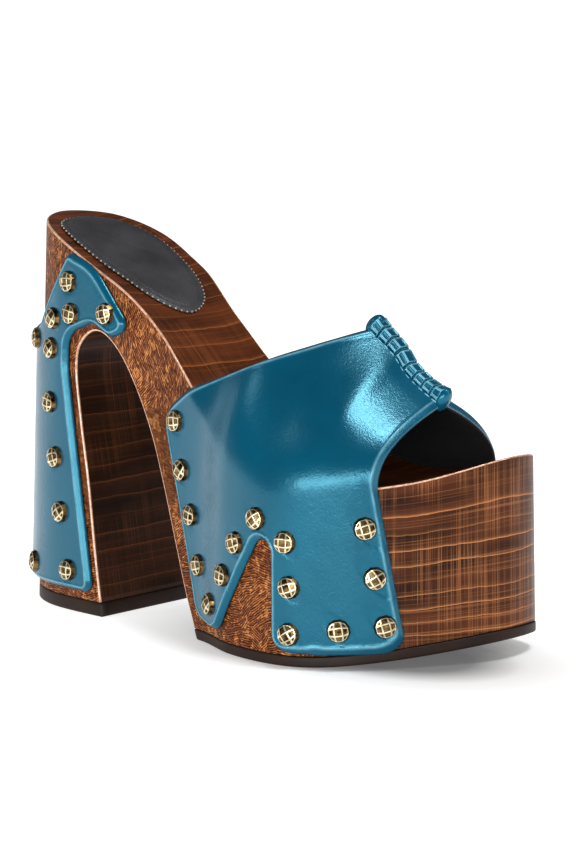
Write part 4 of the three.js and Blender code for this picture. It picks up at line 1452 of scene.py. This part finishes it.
# The floor glows by its own emission as painted light to stay white; painted shade dims the glow near the
# toe and on the side towards the camera
floor_look = Look("floor_white", Roughness=0.8, Specular_IOR_Level=0.0, Emission_Color=(1, 1, 1, 1))
floor_place = floor_look.object_place()
towards_camera = (-math.sin(CAMERA_AZIMUTH), math.cos(CAMERA_AZIMUTH), 0)
behind = floor_look.vector_math("DOT_PRODUCT", {0: floor_place, 1: towards_camera}, "Value")
behind = floor_look.math("MULTIPLY_ADD", behind, 0.5, 0.5)
front_shade = floor_look.ramp(behind, (0.08, 0.25), (0.30, 1.0))
squeezed = floor_look.mapped(floor_place, (12.0, 18.0, 0), (-0.9, 0.1, 0))
away = floor_look.times(floor_look.vector_math("LENGTH", {0: squeezed}, "Value"), 0.1)
near_shade = floor_look.ramp(away, (0.06, 0.12), (0.15, 0.72), (0.35, 1.0))
floor_look.link(floor_look.times(near_shade, front_shade), "Emission Strength")
shaded_tone = floor_look.ramp(front_shade, (0.2, 0.35), (1.0, 0.85))
# Painted shade and shadow in the floor's colour: darker on the side towards the camera, and nearly black
# under the toe
toe_shadow = floor_look.ramp(away, (0.038, 1.0), (0.064, 0.0))
floor_look.link(floor_look.mix(toe_shadow, shaded_tone, (0.12, 0.12, 0.12)), "Base Color")
floor_mesh.materials.append(floor_look.material)
bpy.context.scene.collection.objects.link(floor)

world = bpy.data.worlds.new("studio")
bpy.context.scene.world = world
world.use_nodes = True
background = world.node_tree.nodes["Background"]
background.inputs["Color"].default_value = (1, 1, 1, 1)
background.inputs["Strength"].default_value = WORLD_LIGHT

target = Vector((TARGET + SHIFT) * MM)


def direction(azimuth, elevation):
    """The direction from the shoe at angles in radians."""
    flat = math.cos(elevation)
    return Vector((math.sin(azimuth) * flat, -math.cos(azimuth) * flat, math.sin(elevation)))


back = direction(CAMERA_AZIMUTH, CAMERA_ELEVATION)
right = Vector((math.cos(CAMERA_AZIMUTH), math.sin(CAMERA_AZIMUTH), 0))
upward = back.cross(right)
rolled_right = right * math.cos(CAMERA_ROLL) + upward * math.sin(CAMERA_ROLL)
rolled_up = upward * math.cos(CAMERA_ROLL) - right * math.sin(CAMERA_ROLL)


def light(name, azimuth, elevation, distance, size, power, height=None):
    """A soft light aimed at the shoe, square unless it has a height of its own."""
    way = direction(math.radians(azimuth), math.radians(elevation))
    data = bpy.data.lights.new(name, "AREA")
    data.shape = "RECTANGLE"
    data.size = size
    data.size_y = height or size
    data.energy = power
    lamp = bpy.data.objects.new(name, data)
    lamp.location = target + way * distance
    lamp.rotation_mode = "QUATERNION"
    lamp.rotation_quaternion = way.to_track_quat("Z", "Y")
    bpy.context.scene.collection.objects.link(lamp)


light("high_right", 92, 66, 1.1, 0.3, 6.5, 0.32)
light("front_strip", 22, 6, 1.45, 1.9, 22, 0.3)
light("left_high", -45, 43, 1.3, 0.35, 0.9)
light("left_strip", -74, 10, 1.3, 0.2, 0.6, 0.7)
light("right_edge", 112, 24, 1.3, 0.12, 3, 0.8)
light("left_back", -115, 24, 1.3, 0.5, 0.4, 0.8)

camera_data = bpy.data.cameras.new("camera")
camera_data.sensor_width = 36
camera_data.lens = CAMERA_LENS
camera_data.clip_end = 20
camera = bpy.data.objects.new("camera", camera_data)
axes = Matrix((rolled_right, rolled_up, back)).transposed()
camera.matrix_world = Matrix.Translation(target + back * CAMERA_DISTANCE * MM) @ axes.to_4x4()
bpy.context.scene.collection.objects.link(camera)
bpy.context.scene.camera = camera
bpy.context.scene.view_settings.view_transform = "Standard"
